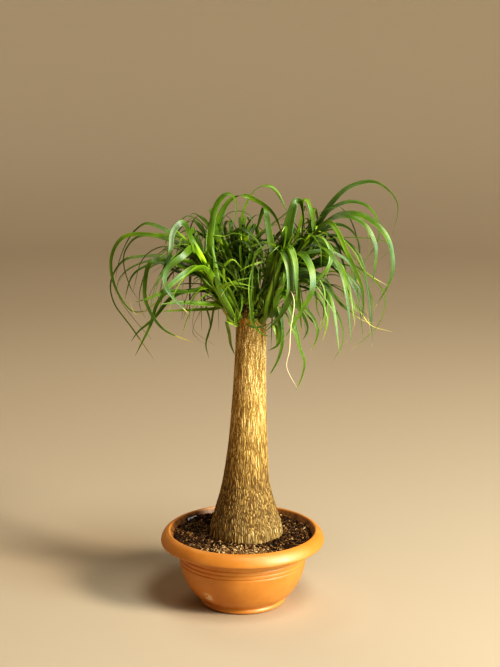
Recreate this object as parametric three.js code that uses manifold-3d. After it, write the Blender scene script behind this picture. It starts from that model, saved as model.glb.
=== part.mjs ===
// Potted ponytail palm. A woody trunk with a swollen foot, sawn off flat, stands in the soil of a
// round plastic bowl, and leafy heads of long arching strap leaves grow from the trunk's top rim.
// Millimetres, +Z up, origin at the centre of the pot's underside, front towards -Y.

import * as THREE from 'three';
import { mergeVertices } from 'three/addons/utils/BufferGeometryUtils.js';
import Module from 'manifold-3d';

const wasm = await Module();
wasm.setup();

// Driving dimensions
const GAP = 0.3; // clearance between pieces that rest on or stand in one another
const ROUND_SIDES = 40; // facets round the pot and the soil

const POT_FLOOR = 6; // thickness of the pot's floor
const GROOVE_HEIGHTS = [88.7, 97, 106]; // three turned lines round the bowl
const GROOVE_DEPTH = 1;
const GROOVE_HALF_WIDTH = 1.7;
const SOIL_LEVEL = 139; // height of the soil against the pot's wall
const SOIL_RELIEF = 1.6; // height of the soil's crumbs
const HOLE_TOP = 160; // the cutter for the trunk's hole reaches this high, clear of the soil

const TRUNK_TOP = 592;
const TRUNK_SIDES = 60;
const TRUNK_ROWS = 16;
const BARK_RIDGES = 15;
const BARK_RELIEF = 1.1;
const TRUNK_BASE_X = 9; // the trunk's foot stands this far right of the pot's centre
const TRUNK_LEAN = 9.5; // how much further right its top is
const LEAN_HEIGHT = 342; // the lean is all in this length below the top

const LEAF_KEEL = 0.15; // depth of a leaf's midrib as a share of the leaf's width
const LEAF_THICKNESS = 1.4; // least depth of the midrib
const TIP_WIDTH = 1.6;
const STEPS_PER_POINT = 1.45; // lengthwise steps in a leaf for each point of its route
const PROBES = 24; // places along a leaf where its distance to other heads is measured
const LEAF_CLEARANCE = 1.5;

const LABEL = { length: 34, height: 13, thickness: 1.2, reach: 132.5, foot: 135.5, lean: 32, bearing: 140 };

// Outlines as [radius, height], from the axis outwards and up
const BOWL_OUTSIDE = [[0, 0], [86, 0], [86, 9], [84, 11.5], [98.6, 21], [115, 44], [124, 68], [127.2, 84]];
const BOWL_NECK = [129.6, 121];
const RIM = [[158, 123.5], [163.5, 126.5], [165, 131], [161.5, 142], [155, 149.5], [149.5, 151.5], [145.5, 149.5]];
const BOWL_INSIDE = [[139, SOIL_LEVEL], [125, 118], [119, 68], [94, 21], [80, POT_FLOOR]];
const TRUNK_BURIED = [[0, 84], [52, 90]];
const TRUNK_OUTSIDE = [
  [70, 116], [74.5, 143], [72.4, 163], [64, 195], [54, 230], [47, 265], [41.4, 317], [36.7, 386], [33, 472],
  [31, 562], [31.4, 589],
];
const TRUNK_CUT = [[30.6, TRUNK_TOP], [26, TRUNK_TOP - 1], [22, 585], [0, 583]];

// Leafy stems: where each runs, its radius, and how the leaves grown by the rule spread from it.
// Each leaf that was read off the plant is [place on the stem 0..1, width, turn in degrees, points].
const HEADS = {
  left: {
    route: [[-8, -8, 573], [-24, -19, 605], [-45, -29, 644], [-66, -36, 680], [-80, -38, 708]],
    radius: 8.5,
    fillers: { count: 11, bearing: 178, spread: 190 },
    leaves: [
      [0.95, 17, -60, [[-96, -55, 748], [-110, -75, 785], [-130, -90, 770], [-137, -105, 725], [-165, -110, 665]]],
      [0.9, 17, -60, [[-92, -90, 738], [-110, -120, 730], [-140, -132, 705], [-140, -135, 670], [-100, -125, 620]]],
      [0.8, 15, -50, [[-90, -85, 700], [-115, -110, 690], [-155, -130, 660], [-200, -140, 645]]],
      [0.95, 16, -45, [[-125, -5, 735], [-180, 5, 750], [-230, 10, 745], [-255, 15, 705], [-250, 10, 650],
        [-220, 10, 600], [-185, 0, 600]]],
      [0.9, 10, -15, [[-115, 25, 735], [-180, 45, 765], [-210, 50, 752], [-230, 52, 723], [-245, 54, 685],
        [-252, 54, 652]]],
      [0.88, 8, -15, [[-120, 8, 742], [-195, 25, 745], [-225, 30, 722], [-233, 32, 690], [-222, 32, 645],
        [-205, 30, 615]]],
      [0.85, 11, 0, [[-140, 35, 700], [-190, 50, 700], [-235, 55, 690], [-260, 55, 650], [-255, 55, 605],
        [-220, 50, 555], [-175, 40, 490]]],
      [0.8, 9, 0, [[-150, 70, 685], [-200, 90, 680], [-245, 100, 650], [-250, 100, 610], [-215, 90, 560],
        [-180, 85, 520]]],
      [0.75, 8, -20, [[-145, -35, 705], [-180, -50, 700], [-210, -55, 680], [-225, -60, 635]]],
      [0.7, 13, -20, [[-135, -75, 710], [-170, -95, 715], [-182, -100, 680], [-180, -100, 635], [-150, -95, 585],
        [-95, -80, 555]]],
      [0.75, 12, 0, [[-140, 5, 695], [-180, 0, 685], [-197, -5, 650], [-200, -5, 610], [-185, -5, 580]]],
      [0.6, 10, -25, [[-100, -60, 650], [-140, -85, 655], [-162, -90, 630], [-175, -90, 590], [-205, -90, 530]]],
      [0.5, 12, -20, [[-95, -25, 645], [-135, -38, 635], [-170, -45, 595], [-200, -50, 570], [-215, -50, 550]]],
      [0.35, 13, -30, [[-70, -40, 622], [-118, -65, 630], [-160, -85, 630]]],
      [0.3, 9, 0, [[-60, -10, 606], [-130, -5, 602], [-165, -10, 600]]],
      [0.4, 7, 0, [[-72, 10, 620], [-95, 45, 590], [-95, 50, 550], [-55, 45, 520]]],
      [0.3, 8, 20, [[-52, -34, 615], [-60, -42, 580], [-70, -45, 545], [-65, -40, 515]]],
      [0.4, 18, 55, [[-52, -46, 675], [-60, -44, 745], [-50, -38, 810], [-27, -32, 836], [-10, -36, 815],
        [-22, -46, 770], [-52, -50, 730]]],
      [0.5, 9, 20, [[-42, -58, 652], [-25, -72, 665], [-5, -78, 670], [25, -80, 660]]],
      [0.85, 9, 0, [[-110, 40, 680], [-155, 70, 660], [-182, 80, 625], [-195, 80, 580]]],
    ],
  },
  back_left: {
    route: [[2, 18, 577], [-12, 34, 615], [-26, 43, 655], [-38, 47, 695], [-46, 48, 722]],
    radius: 8,
    fillers: { count: 10, bearing: 125, spread: 190 },
    leaves: [
      [0.95, 13, 30, [[-50, 25, 760], [-30, 18, 808], [0, 15, 825], [40, 5, 810], [65, -5, 785], [80, -10, 740]]],
      [0.95, 7, 20, [[-44, 50, 760], [-28, 50, 785], [-5, 50, 790], [15, 50, 780], [25, 50, 750]]],
      [0.8, 7, 20, [[-68, 22, 725], [-75, 20, 760], [-88, 20, 780], [-105, 25, 775], [-120, 30, 750]]],
      [0.7, 9, 0, [[-100, 75, 720], [-140, 100, 710], [-175, 110, 690], [-195, 110, 655], [-190, 110, 610]]],
      [0.9, 12, 0, [[-75, 90, 740], [-100, 120, 760], [-130, 140, 735], [-150, 150, 680], [-155, 150, 625]]],
      [0.9, 12, 0, [[-45, 95, 755], [-35, 125, 790], [-40, 155, 775], [-55, 170, 725], [-65, 175, 665]]],
    ],
  },
  back: {
    route: [[20, 19, 577], [18, 40, 615], [12, 53, 655], [6, 60, 690], [2, 63, 712]],
    radius: 8,
    fillers: { count: 10, bearing: 75, spread: 170 },
    leaves: [
      [0.95, 14, 30, [[-6, 70, 745], [2, 66, 790], [20, 60, 825], [45, 55, 840], [68, 50, 828], [90, 40, 785]]],
      [0.8, 10, 40, [[-22, 38, 735], [-5, 30, 758], [25, 20, 742], [50, 15, 705]]],
      [0.7, 9, 30, [[-30, 34, 700], [-22, 20, 725], [0, 8, 735], [22, 4, 718]]],
      [0.95, 11, 0, [[-20, 95, 730], [-25, 112, 760], [-35, 130, 750], [-50, 145, 705], [-50, 150, 650]]],
      [0.9, 12, 0, [[5, 95, 725], [18, 120, 750], [30, 145, 735], [40, 160, 680], [45, 165, 620]]],
      [0.85, 11, 0, [[22, 78, 720], [42, 92, 740], [65, 105, 730], [88, 115, 695], [95, 120, 640]]],
    ],
  },
  right_front: {
    route: [[34, -15, 575], [46, -28, 610], [58, -39, 648], [70, -46, 684], [78, -48, 712]],
    radius: 8.5,
    fillers: { count: 9, bearing: 345, spread: 140 },
    leaves: [
      [0.9, 18, 20, [[71, -68, 712], [78, -84, 732], [89, -100, 705], [90, -106, 660], [75, -100, 615],
        [42, -85, 575]]],
      [0.9, 13, 0, [[84, -74, 726], [91, -90, 740], [100, -105, 715], [102, -112, 680], [104, -112, 635]]],
      [0.95, 19, 40, [[87, -40, 752], [96, -38, 790], [107, -36, 823], [121, -36, 806], [128, -36, 768]]],
      [0.85, 16, 0, [[57, -28, 728], [50, -20, 768], [45, 0, 800], [38, 20, 785], [25, 40, 740]]],
      [0.8, 18, 30, [[98, -68, 722], [115, -92, 726], [130, -110, 702], [131, -120, 665], [112, -115, 625],
        [78, -105, 565]]],
      [0.45, 6, 60, [[80, -90, 668], [98, -115, 645], [92, -120, 590], [90, -120, 550], [85, -120, 515],
        [105, -120, 475]]],
      [0.4, 9, 20, [[80, -55, 640], [100, -70, 590], [110, -72, 545], [120, -72, 515], [115, -72, 485],
        [105, -70, 460]]],
      [0.3, 11, 30, [[62, -44, 614], [72, -58, 578], [70, -60, 548], [50, -52, 532]]],
      [0.35, 9, 20, [[72, -42, 606], [78, -46, 555], [70, -46, 515], [50, -42, 475]]],
      [0.55, 10, 30, [[105, -52, 630], [135, -60, 600], [145, -65, 570], [135, -60, 535]]],
      [0.6, 8, 0, [[105, -50, 660], [140, -58, 648], [157, -60, 625], [157, -60, 590], [140, -60, 560]]],
      [0.5, 10, 30, [[90, -76, 645], [115, -86, 612], [125, -90, 585], [115, -88, 560]]],
      [0.7, 11, 10, [[108, -45, 688], [140, -50, 675], [162, -55, 650], [165, -55, 600], [155, -55, 550]]],
    ],
  },
  right_back: {
    route: [[38, 8, 575], [56, 14, 615], [80, 19, 655], [104, 20, 692], [125, 18, 726]],
    radius: 9,
    fillers: { count: 11, bearing: 35, spread: 190 },
    leaves: [
      [1.0, 15, 40, [[150, 32, 770], [178, 50, 808], [210, 62, 835], [255, 70, 845], [290, 78, 825],
        [308, 80, 790], [295, 80, 725]]],
      [1.0, 10, 20, [[148, 24, 765], [172, 32, 795], [210, 36, 810], [245, 40, 800], [265, 40, 770],
        [265, 40, 730], [235, 36, 685]]],
      [0.95, 15, 30, [[150, 8, 758], [180, 3, 785], [215, -3, 792], [245, -8, 782], [275, -10, 755],
        [290, -10, 715], [288, -10, 665], [260, -10, 610]]],
      [0.9, 13, 20, [[150, -8, 765], [175, -22, 785], [205, -30, 790], [235, -36, 775], [255, -40, 738],
        [255, -40, 700], [250, -36, 655]]],
      [0.9, 11, 0, [[150, 45, 745], [178, 62, 760], [205, 75, 755], [225, 85, 735], [235, 86, 705],
        [225, 85, 680]]],
      [0.85, 12, 45, [[146, -30, 765], [164, -45, 782], [180, -60, 768], [198, -68, 730], [215, -72, 695],
        [230, -75, 655], [230, -72, 605]]],
      [0.8, 10, 10, [[165, 2, 748], [205, -8, 735], [230, -10, 705], [242, -10, 655], [250, -10, 595],
        [255, -10, 530]]],
      [0.75, 9, 0, [[170, 28, 715], [225, 25, 682], [262, 22, 655], [280, 20, 620], [268, 20, 568],
        [215, 20, 515]]],
      [0.7, 13, 20, [[160, 36, 725], [190, 45, 705], [202, 50, 665], [200, 50, 615]]],
      [0.65, 9, 30, [[150, -32, 706], [190, -46, 690], [215, -50, 655], [235, -50, 595]]],
      [0.75, 12, 0, [[170, 50, 715], [215, 65, 700], [245, 72, 655], [258, 75, 600], [260, 75, 540]]],
      [0.7, 9, 0, [[170, 65, 690], [200, 82, 655], [222, 90, 600], [265, 90, 560]]],
      [0.5, 11, 0, [[130, -10, 672], [170, -15, 648], [192, -20, 615], [225, -20, 595]]],
      [0.4, 9, 20, [[130, 34, 655], [168, 45, 615], [195, 50, 570], [200, 50, 525], [180, 46, 485]]],
      [0.85, 15, 40, [[140, -36, 745], [165, -60, 738], [167, -75, 710], [147, -80, 680], [120, -80, 645]]],
      [0.9, 13, 35, [[122, 16, 770], [129, 8, 818], [140, -2, 790], [150, -8, 752], [165, -12, 718],
        [163, -14, 690], [151, -14, 672]]],
      [0.9, 12, 0, [[150, 70, 765], [180, 105, 792], [212, 135, 770], [235, 150, 710], [240, 155, 650]]],
      [0.8, 12, 0, [[135, 75, 750], [142, 115, 785], [150, 145, 768], [160, 168, 710], [165, 170, 640]]],
    ],
  },
};

// The young shoot at the trunk's front rim, with short narrow leaves
const SPROUT = {
  route: [[22, -25, 580], [24, -35, 602], [26, -42, 622]],
  radius: 4,
  fillers: { count: 0, bearing: 0, spread: 0 },
  leaves: [
    [0.9, 5, 0, [[19, -46, 655], [18, -51, 690], [24, -56, 718], [42, -62, 736]]],
    [0.8, 5, 0, [[8, -46, 636], [-4, -54, 630], [-8, -58, 612]]],
    [0.8, 5, 0, [[38, -46, 638], [48, -52, 638], [56, -58, 622]]],
    [0.9, 4, 0, [[16, -44, 640], [8, -50, 656], [-4, -58, 660]]],
    [0.9, 4, 0, [[34, -40, 646], [44, -42, 658], [52, -44, 652]]],
    [0.6, 5, 0, [[18, -50, 616], [18, -60, 594], [36, -64, 570], [60, -62, 562]]],
    [0.9, 4, 0, [[26, -36, 650], [30, -26, 676], [40, -20, 690]]],
    [0.7, 4, 0, [[34, -50, 628], [40, -60, 634], [40, -68, 622]]],
  ],
};

// Solids: a closed geometry becomes a solid once its shared vertices are merged
function toSolid(geometry) {
  geometry.deleteAttribute('normal');
  geometry.deleteAttribute('uv');
  const merged = mergeVertices(geometry, 1e-4);
  const vertProperties = new Float32Array(merged.attributes.position.array);
  const triVerts = new Uint32Array(merged.index.array);
  return new wasm.Manifold(new wasm.Mesh({ numProp: 3, vertProperties, triVerts }));
}

function toGeometry(solid) {
  const { vertProperties, triVerts } = solid.getMesh();
  const geometry = new THREE.BufferGeometry();
  geometry.setAttribute('position', new THREE.BufferAttribute(vertProperties, 3));
  geometry.setIndex(new THREE.BufferAttribute(triVerts, 1));
  geometry.computeVertexNormals();
  return geometry;
}

function lathe(outline, sides) {
  const profile = outline.map(([radius, height]) => new THREE.Vector2(radius, height));
  return new THREE.LatheGeometry(profile, sides).rotateX(Math.PI / 2);
}

// Moves every vertex of a geometry to where the function puts it
function reshape(geometry, move) {
  const position = geometry.attributes.position;
  const point = new THREE.Vector3();
  for (let i = 0; i < position.count; i += 1) {
    point.fromBufferAttribute(position, i);
    move(point);
    position.setXYZ(i, point.x, point.y, point.z);
  }
  return geometry;
}

// Seeded random numbers from 0 to 1, the same on every run
function seededRandom(seed) {
  let state = seed;
  return () => {
    state = (state + 0x6d2b79f5) | 0;
    let mixed = Math.imul(state ^ (state >>> 15), 1 | state);
    mixed = (mixed + Math.imul(mixed ^ (mixed >>> 7), 61 | mixed)) ^ mixed;
    return ((mixed ^ (mixed >>> 14)) >>> 0) / 4294967296;
  };
}

// The pot: a thin-walled bowl with a bead round its foot, turned lines and a wide rolled rim
function bowlGrooves() {
  const [lowRadius, lowHeight] = BOWL_OUTSIDE[BOWL_OUTSIDE.length - 1];
  const [neckRadius, neckHeight] = BOWL_NECK;
  const slope = (neckRadius - lowRadius) / (neckHeight - lowHeight);
  return GROOVE_HEIGHTS.flatMap((height) => {
    const radius = lowRadius + slope * (height - lowHeight);
    return [
      [radius, height - GROOVE_HALF_WIDTH],
      [radius - GROOVE_DEPTH, height],
      [radius, height + GROOVE_HALF_WIDTH],
    ];
  });
}

function makePot() {
  const outline = [...BOWL_OUTSIDE, ...bowlGrooves(), BOWL_NECK, ...RIM, ...BOWL_INSIDE, [0, POT_FLOOR]];
  return toSolid(lathe(outline, ROUND_SIDES));
}

// The trunk: a leaning column that swells into a bulb at the soil, with upright bark ridges and a
// sawn, slightly hollow top
function trunkAxis(height) {
  const below = Math.min(1, Math.max(0, (TRUNK_TOP - height) / LEAN_HEIGHT));
  return TRUNK_BASE_X + TRUNK_LEAN * (1 - below * below);
}

function barkRelief(angle, height) {
  const fade = Math.min(1, Math.max(0, (height - SOIL_LEVEL) / 40));
  const wander = 1.3 * Math.sin(height / 37) + 0.8 * Math.sin(height / 16 + 2 * angle);
  const ridge = Math.sin(BARK_RIDGES * angle + wander) + 0.5 * Math.sin(7 * angle + height / 24);
  return BARK_RELIEF * fade * ridge;
}

function trunkOutline() {
  const side = new THREE.SplineCurve(TRUNK_OUTSIDE.map(([radius, height]) => new THREE.Vector2(radius, height)));
  return side.getSpacedPoints(TRUNK_ROWS).map((point) => [point.x, point.y]);
}

function makeTrunk() {
  const cutEdge = TRUNK_CUT[1][0];
  const geometry = lathe([...TRUNK_BURIED, ...trunkOutline(), ...TRUNK_CUT], TRUNK_SIDES);
  reshape(geometry, (point) => {
    const radius = Math.hypot(point.x, point.y);
    if (radius > cutEdge) {
      const grown = 1 + barkRelief(Math.atan2(point.y, point.x), point.z) / radius;
      point.x *= grown;
      point.y *= grown;
    }
    point.x += trunkAxis(point.z);
  });
  return toSolid(geometry);
}

// The plain hole that the trunk's foot stands in, its flat facets just outside the trunk's round
function makeTrunkHole() {
  const sides = TRUNK_SIDES / 2;
  const around = 1 / Math.cos(Math.PI / sides);
  const [footRadius, footHeight] = TRUNK_OUTSIDE[0];
  const widest = TRUNK_OUTSIDE[1][0] + BARK_RELIEF;
  const below = [...TRUNK_BURIED, [footRadius, footHeight]].map(([radius, height]) => [radius, height - GAP]);
  const hole = [...below, [widest, SOIL_LEVEL - 4], [widest, HOLE_TOP]];
  const outline = hole.map(([radius, height]) => [radius > 0 ? radius * around + GAP : 0, height]);
  return toSolid(reshape(lathe([...outline, [0, HOLE_TOP]], sides), (point) => {
    point.x += TRUNK_BASE_X;
  }));
}

// The soil: fills the pot to below its rim, crumbly on top, with a hole for the trunk
function crumb(x, y) {
  const coarse = Math.sin(x * 0.31 + 1.7) * Math.sin(y * 0.27 + 0.4);
  const fine = Math.sin(x * 1.13 + y * 0.71) * Math.cos(y * 1.37 - x * 0.53);
  return 0.55 * coarse + 0.45 * fine;
}

function makeSoil() {
  const wallInset = GAP / Math.cos(Math.PI / 4);
  const wall = BOWL_INSIDE.map(([radius, height]) => [radius - wallInset, height]).reverse();
  wall[0][1] += GAP;
  const top = [130, 119, 107, 95, 83, 60].map((radius) => [radius, SOIL_LEVEL + 1]);
  const outline = [[0, POT_FLOOR + GAP], ...wall, ...top, [0, SOIL_LEVEL + 1]];
  const geometry = reshape(lathe(outline, ROUND_SIDES), (point) => {
    if (point.z > SOIL_LEVEL) {
      point.z += SOIL_RELIEF * crumb(point.x, point.y);
    }
  });
  return toSolid(geometry);
}

// The plant label: a bare plastic strip pressed edgewise into the soil, leaning out to the rim
function makeLabel(play) {
  const { length, height, thickness, reach, foot, lean, bearing } = LABEL;
  const strip = new THREE.BoxGeometry(thickness + 2 * play, length + 2 * play, height + 2 * play);
  strip.translate(0, 0, height / 2);
  strip.rotateY(THREE.MathUtils.degToRad(lean));
  strip.translate(reach, 0, foot);
  return toSolid(strip.rotateZ(THREE.MathUtils.degToRad(bearing)));
}

// A prism bent along a curve, its three or more sides spread by the given half widths. The
// prism's x runs across the leaf, its y along the curve, and its z out of the upper face.
function bend(prism, curve, turn, sizes, pushBack = 0) {
  const up = new THREE.Vector3(0, 0, 1);
  const first = curve.getPointAt(0);
  const bearing = curve.getPointAt(0.5).sub(first);
  const level = bearing.clone().cross(up).normalize();
  return reshape(prism, (point) => {
    const along = point.y + 0.5;
    const place = curve.getPointAt(along);
    const tangent = curve.getTangentAt(along);
    const side = level.clone().addScaledVector(tangent, -level.dot(tangent)).normalize();
    side.applyAxisAngle(tangent, turn * Math.min(1, 3 * along));
    const face = side.clone().cross(tangent);
    const [across, through] = sizes(along);
    const x = point.x * across;
    const z = point.z * through;
    point.copy(place).addScaledVector(side, x).addScaledVector(face, z);
    if (along < 1e-6) {
      point.addScaledVector(tangent, -pushBack);
    }
  });
}

function curveThrough(points) {
  const route = points.map(([x, y, z]) => new THREE.Vector3(x, y, z));
  return new THREE.CatmullRomCurve3(route, false, 'catmullrom', 0.5);
}

function makeStem(head, play) {
  const prism = new THREE.CylinderGeometry(1, 1, 1, 8, 6);
  const radius = (along) => (head.radius + play) * (1 - 0.35 * along * along);
  return toSolid(bend(prism, curveThrough(head.route), 0, (along) => [radius(along), radius(along)], 1.5 * play));
}

// Width of a leaf along its length: broad at the foot, widest at a third, then a long taper
function leafWidth(width, along) {
  return width * Math.min(1, 0.6 + along) * (1 - along ** 2.8) + TIP_WIDTH;
}

// A leaf is a long blade with a flat upper face and a keeled midrib below
function makeLeaf(leaf) {
  const half = Math.sqrt(0.75);
  const steps = Math.round(STEPS_PER_POINT * (leaf.points.length - 1));
  const prism = new THREE.CylinderGeometry(1, 1, 1, 3, steps, false, Math.PI);
  prism.translate(0, 0, -0.5);
  const sizes = (along) => {
    const width = leafWidth(leaf.width, along);
    return [width / 2 / half, Math.max(LEAF_THICKNESS, LEAF_KEEL * width) / 1.5];
  };
  return toSolid(bend(prism, curveThrough(leaf.points), THREE.MathUtils.degToRad(leaf.turn), sizes));
}

// Leaves of different heads are kept clear of each other. Each leaf is probed by round places
// along it, and one that would cross another head's leaf is moved until it is clear, or left out.
function probesOf(leaf) {
  const curve = curveThrough(leaf.points);
  const probes = [];
  for (let i = 0; i <= PROBES; i += 1) {
    const point = curve.getPoint(i / PROBES);
    probes.push([point.x, point.y, point.z, leafWidth(leaf.width, i / PROBES) / 2]);
  }
  return probes;
}

function isClear(probes, name, taken) {
  for (const other of taken) {
    if (other.name !== name) {
      for (const [x, y, z, reach] of other.probes) {
        for (const [px, py, pz, half] of probes) {
          const apart = reach + half + LEAF_CLEARANCE;
          if ((px - x) ** 2 + (py - y) ** 2 + (pz - z) ** 2 < apart * apart) {
            return false;
          }
        }
      }
    }
  }
  return probes.every(([x, y, z]) => z > TRUNK_TOP + 6 || Math.hypot(x - trunkAxis(z), y) > 46);
}

function stemPoint(head, place) {
  const point = curveThrough(head.route).getPoint(place);
  return [point.x, point.y, point.z];
}

// A leaf read off the plant, moved nearer or farther until it is clear
function placeFeature(name, head, [place, width, turn, route], taken) {
  for (const shift of [0, 10, -10, 20, -20, 30, -30, 45, -45]) {
    const points = route.map(([x, y, z], i) => [x, y + shift * Math.min(1, (i + 1) / 2), z]);
    const leaf = { width, turn, points: [stemPoint(head, place), ...points] };
    const probes = probesOf(leaf);
    if (isClear(probes, name, taken)) {
      taken.push({ name, probes });
      return [leaf];
    }
  }
  return [];
}

// A leaf grown by the rule: it rises from the stem, arches over and hangs, swerving a little
function placeFiller(name, head, index, random, taken) {
  const { count, bearing, spread } = head.fillers;
  const root = stemPoint(head, 0.4 + 0.6 * random());
  const heading = bearing + spread * ((index + 0.5) / count - 0.5) + 30 * (random() - 0.5);
  const reach = 70 + 110 * random();
  const rise = 15 + 55 * random();
  const drop = 70 + 130 * random();
  const swerve = 70 * (random() - 0.5);
  const width = 7 + 6 * random();
  const stages = [[0.22, 0.7], [0.52, 1], [0.82, 1 - (0.3 * drop) / rise], [1, 1 - drop / rise]];
  for (const turned of [0, 12, -12, 24, -24, 36, -36, 48, -48]) {
    const points = stages.map(([out, height]) => {
      const angle = THREE.MathUtils.degToRad(heading + turned + swerve * out);
      return [root[0] + reach * out * Math.cos(angle), root[1] + reach * out * Math.sin(angle), root[2] + rise * height];
    });
    const leaf = { width, turn: 0, points: [root, ...points] };
    const probes = probesOf(leaf);
    if (isClear(probes, name, taken)) {
      taken.push({ name, probes });
      return [leaf];
    }
  }
  return [];
}

// Every head's leaves: the stems first, then the leaves read off the plant, then the rule's
function growLeaves(heads) {
  const names = Object.keys(heads);
  const taken = names.map((name) => {
    const { route, radius } = heads[name];
    return { name, probes: probesOf({ points: route, width: 2 * radius }) };
  });
  const random = seededRandom(41);
  const grown = {};
  for (const name of names) {
    grown[name] = heads[name].leaves.flatMap((row) => placeFeature(name, heads[name], row, taken));
  }
  for (const name of names) {
    for (let index = 0; index < heads[name].fillers.count; index += 1) {
      grown[name].push(...placeFiller(name, heads[name], index, random, taken));
    }
  }
  return grown;
}

function makeHead(head, leaves) {
  return leaves.reduce((solid, leaf) => solid.add(makeLeaf(leaf)), makeStem(head, 0));
}

// Materials
function material(color, roughness) {
  return new THREE.MeshStandardMaterial({ color, roughness, metalness: 0 });
}

const terracottaPlastic = material(0xc9622d, 0.45);
const pottingSoil = material(0x3b2a1c, 1);
const bark = material(0x9a7440, 0.9);
const leafGreen = material(0x4f7a24, 0.45);
const labelWhite = material(0xdfe0e2, 0.4);

// Assembly
const group = new THREE.Group();

function addPiece(name, solid, finish) {
  const mesh = new THREE.Mesh(toGeometry(solid), finish);
  mesh.name = name;
  group.add(mesh);
}

const heads = { ...HEADS, sprout: SPROUT };
const grown = growLeaves(heads);
const stemSockets = Object.values(heads).map((head) => makeStem(head, GAP));

addPiece('pot', makePot(), terracottaPlastic);
addPiece('soil', makeSoil().subtract(makeTrunkHole()).subtract(makeLabel(GAP)), pottingSoil);
addPiece('trunk', stemSockets.reduce((solid, socket) => solid.subtract(socket), makeTrunk()), bark);
for (const [name, head] of Object.entries(heads)) {
  addPiece(`head_${name}`, makeHead(head, grown[name]), leafGreen);
}
addPiece('plant_label', makeLabel(0), labelWhite);

export default group;
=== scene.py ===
# Potted ponytail palm: a bulb-footed woody trunk, sawn off flat, with heads of long strap leaves,
# standing in the soil of a round terracotta-coloured plastic bowl. +Z is up, the front faces -Y.
import math

import bpy
import numpy as np
import mathutils
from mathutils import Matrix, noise


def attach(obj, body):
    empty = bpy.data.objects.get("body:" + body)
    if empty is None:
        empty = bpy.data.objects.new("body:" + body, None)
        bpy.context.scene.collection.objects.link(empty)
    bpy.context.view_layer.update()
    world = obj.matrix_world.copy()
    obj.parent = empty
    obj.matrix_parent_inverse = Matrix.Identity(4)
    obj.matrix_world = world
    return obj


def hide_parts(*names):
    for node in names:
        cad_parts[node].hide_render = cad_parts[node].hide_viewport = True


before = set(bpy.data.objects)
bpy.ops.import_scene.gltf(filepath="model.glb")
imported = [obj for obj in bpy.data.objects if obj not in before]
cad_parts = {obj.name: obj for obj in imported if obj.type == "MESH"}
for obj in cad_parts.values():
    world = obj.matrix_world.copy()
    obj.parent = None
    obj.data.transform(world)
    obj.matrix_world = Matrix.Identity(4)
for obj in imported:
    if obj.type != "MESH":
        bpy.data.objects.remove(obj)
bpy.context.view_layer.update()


# The studio: a pale seamless floor that sweeps up into round walls far behind the plant, and the
# camera at the place and angle of the photograph.
# The camera's place in metres, how far down it looks in degrees, its lens in mm, how far it sees
CAMERA_PLACE = (0.0151, -3.0185, 1.2295)
CAMERA_DOWN = 12.6
CAMERA_LENS = 85
SIGHT_LIMIT = 30
FLOOR_COLOUR = (0.52, 0.425, 0.31, 1)
FLOOR_SIDES = 96
# The sweep's radius and height in metres, from the floor round the plant to the top of the walls
FLOOR_SWEEP = [(1.5, 0), (3, 0), (4.2, 0.02), (4.9, 0.16), (5.4, 0.5), (5.75, 1.05), (5.9, 1.8), (5.95, 5)]


def wrapped_faces(rows, sides):
    """Four-sided faces between rings of points that run up or along a round shape."""
    row, side = np.meshgrid(np.arange(rows - 1), np.arange(sides), indexing="ij")
    near, far = row * sides, (row + 1) * sides
    following = (side + 1) % sides
    return np.stack([near + side, near + following, far + following, far + side], -1).reshape(-1, 4).tolist()


def ring(radius, height, sides, centre_x=0.0):
    """Points on a level circle."""
    angle = np.arange(sides) * math.tau / sides
    return np.stack([centre_x + radius * np.cos(angle), radius * np.sin(angle), np.full(sides, height)], -1)


def add_piece(name, points, faces, smooth=True):
    """An object of that name in the scene, with its place in its mesh."""
    mesh = bpy.data.meshes.new(name)
    mesh.from_pydata(np.asarray(points).reshape(-1, 3).tolist(), [], faces)
    if smooth:
        mesh.shade_smooth()
    piece = bpy.data.objects.new(name, mesh)
    bpy.context.scene.collection.objects.link(piece)
    return piece


def new_material(name, roughness, specular):
    """A material with one Principled shader, its node tree, and that shader's inputs."""
    material = bpy.data.materials.new(name)
    material.use_nodes = True
    shader = material.node_tree.nodes["Principled BSDF"].inputs
    shader["Roughness"].default_value = roughness
    shader["Specular IOR Level"].default_value = specular
    return material, material.node_tree, shader


camera = bpy.data.objects.new("camera", bpy.data.cameras.new("camera"))
camera.data.lens = CAMERA_LENS
camera.data.clip_end = SIGHT_LIMIT
camera.location = CAMERA_PLACE
camera.rotation_euler = (math.radians(90 - CAMERA_DOWN), 0, 0)
bpy.context.scene.collection.objects.link(camera)
bpy.context.scene.camera = camera

studio_finish, _, studio_shader = new_material("studio_paper", 0.9, 0.2)
studio_shader["Base Color"].default_value = FLOOR_COLOUR
studio_rings = [ring(radius, height, FLOOR_SIDES) for radius, height in FLOOR_SWEEP]
studio_faces = [[0, 1 + side, 1 + (side + 1) % FLOOR_SIDES] for side in range(FLOOR_SIDES)]
for face in wrapped_faces(len(studio_rings), FLOOR_SIDES):
    studio_faces.append([corner + 1 for corner in reversed(face)])
studio = add_piece("studio", np.concatenate([np.zeros((1, 3)), *studio_rings]), studio_faces)
studio.data.materials.append(studio_finish)


# The pot: one moulded bowl of satin terracotta-coloured plastic, with a bead round its foot, three
# turned lines under the rim and a wide rolled rim. It is a little scuffed, and dusty inside.
# The plant's sizes are in millimetres
MM = 0.001
POT_SIDES = 192
CORNER_STEPS = 5
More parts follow.
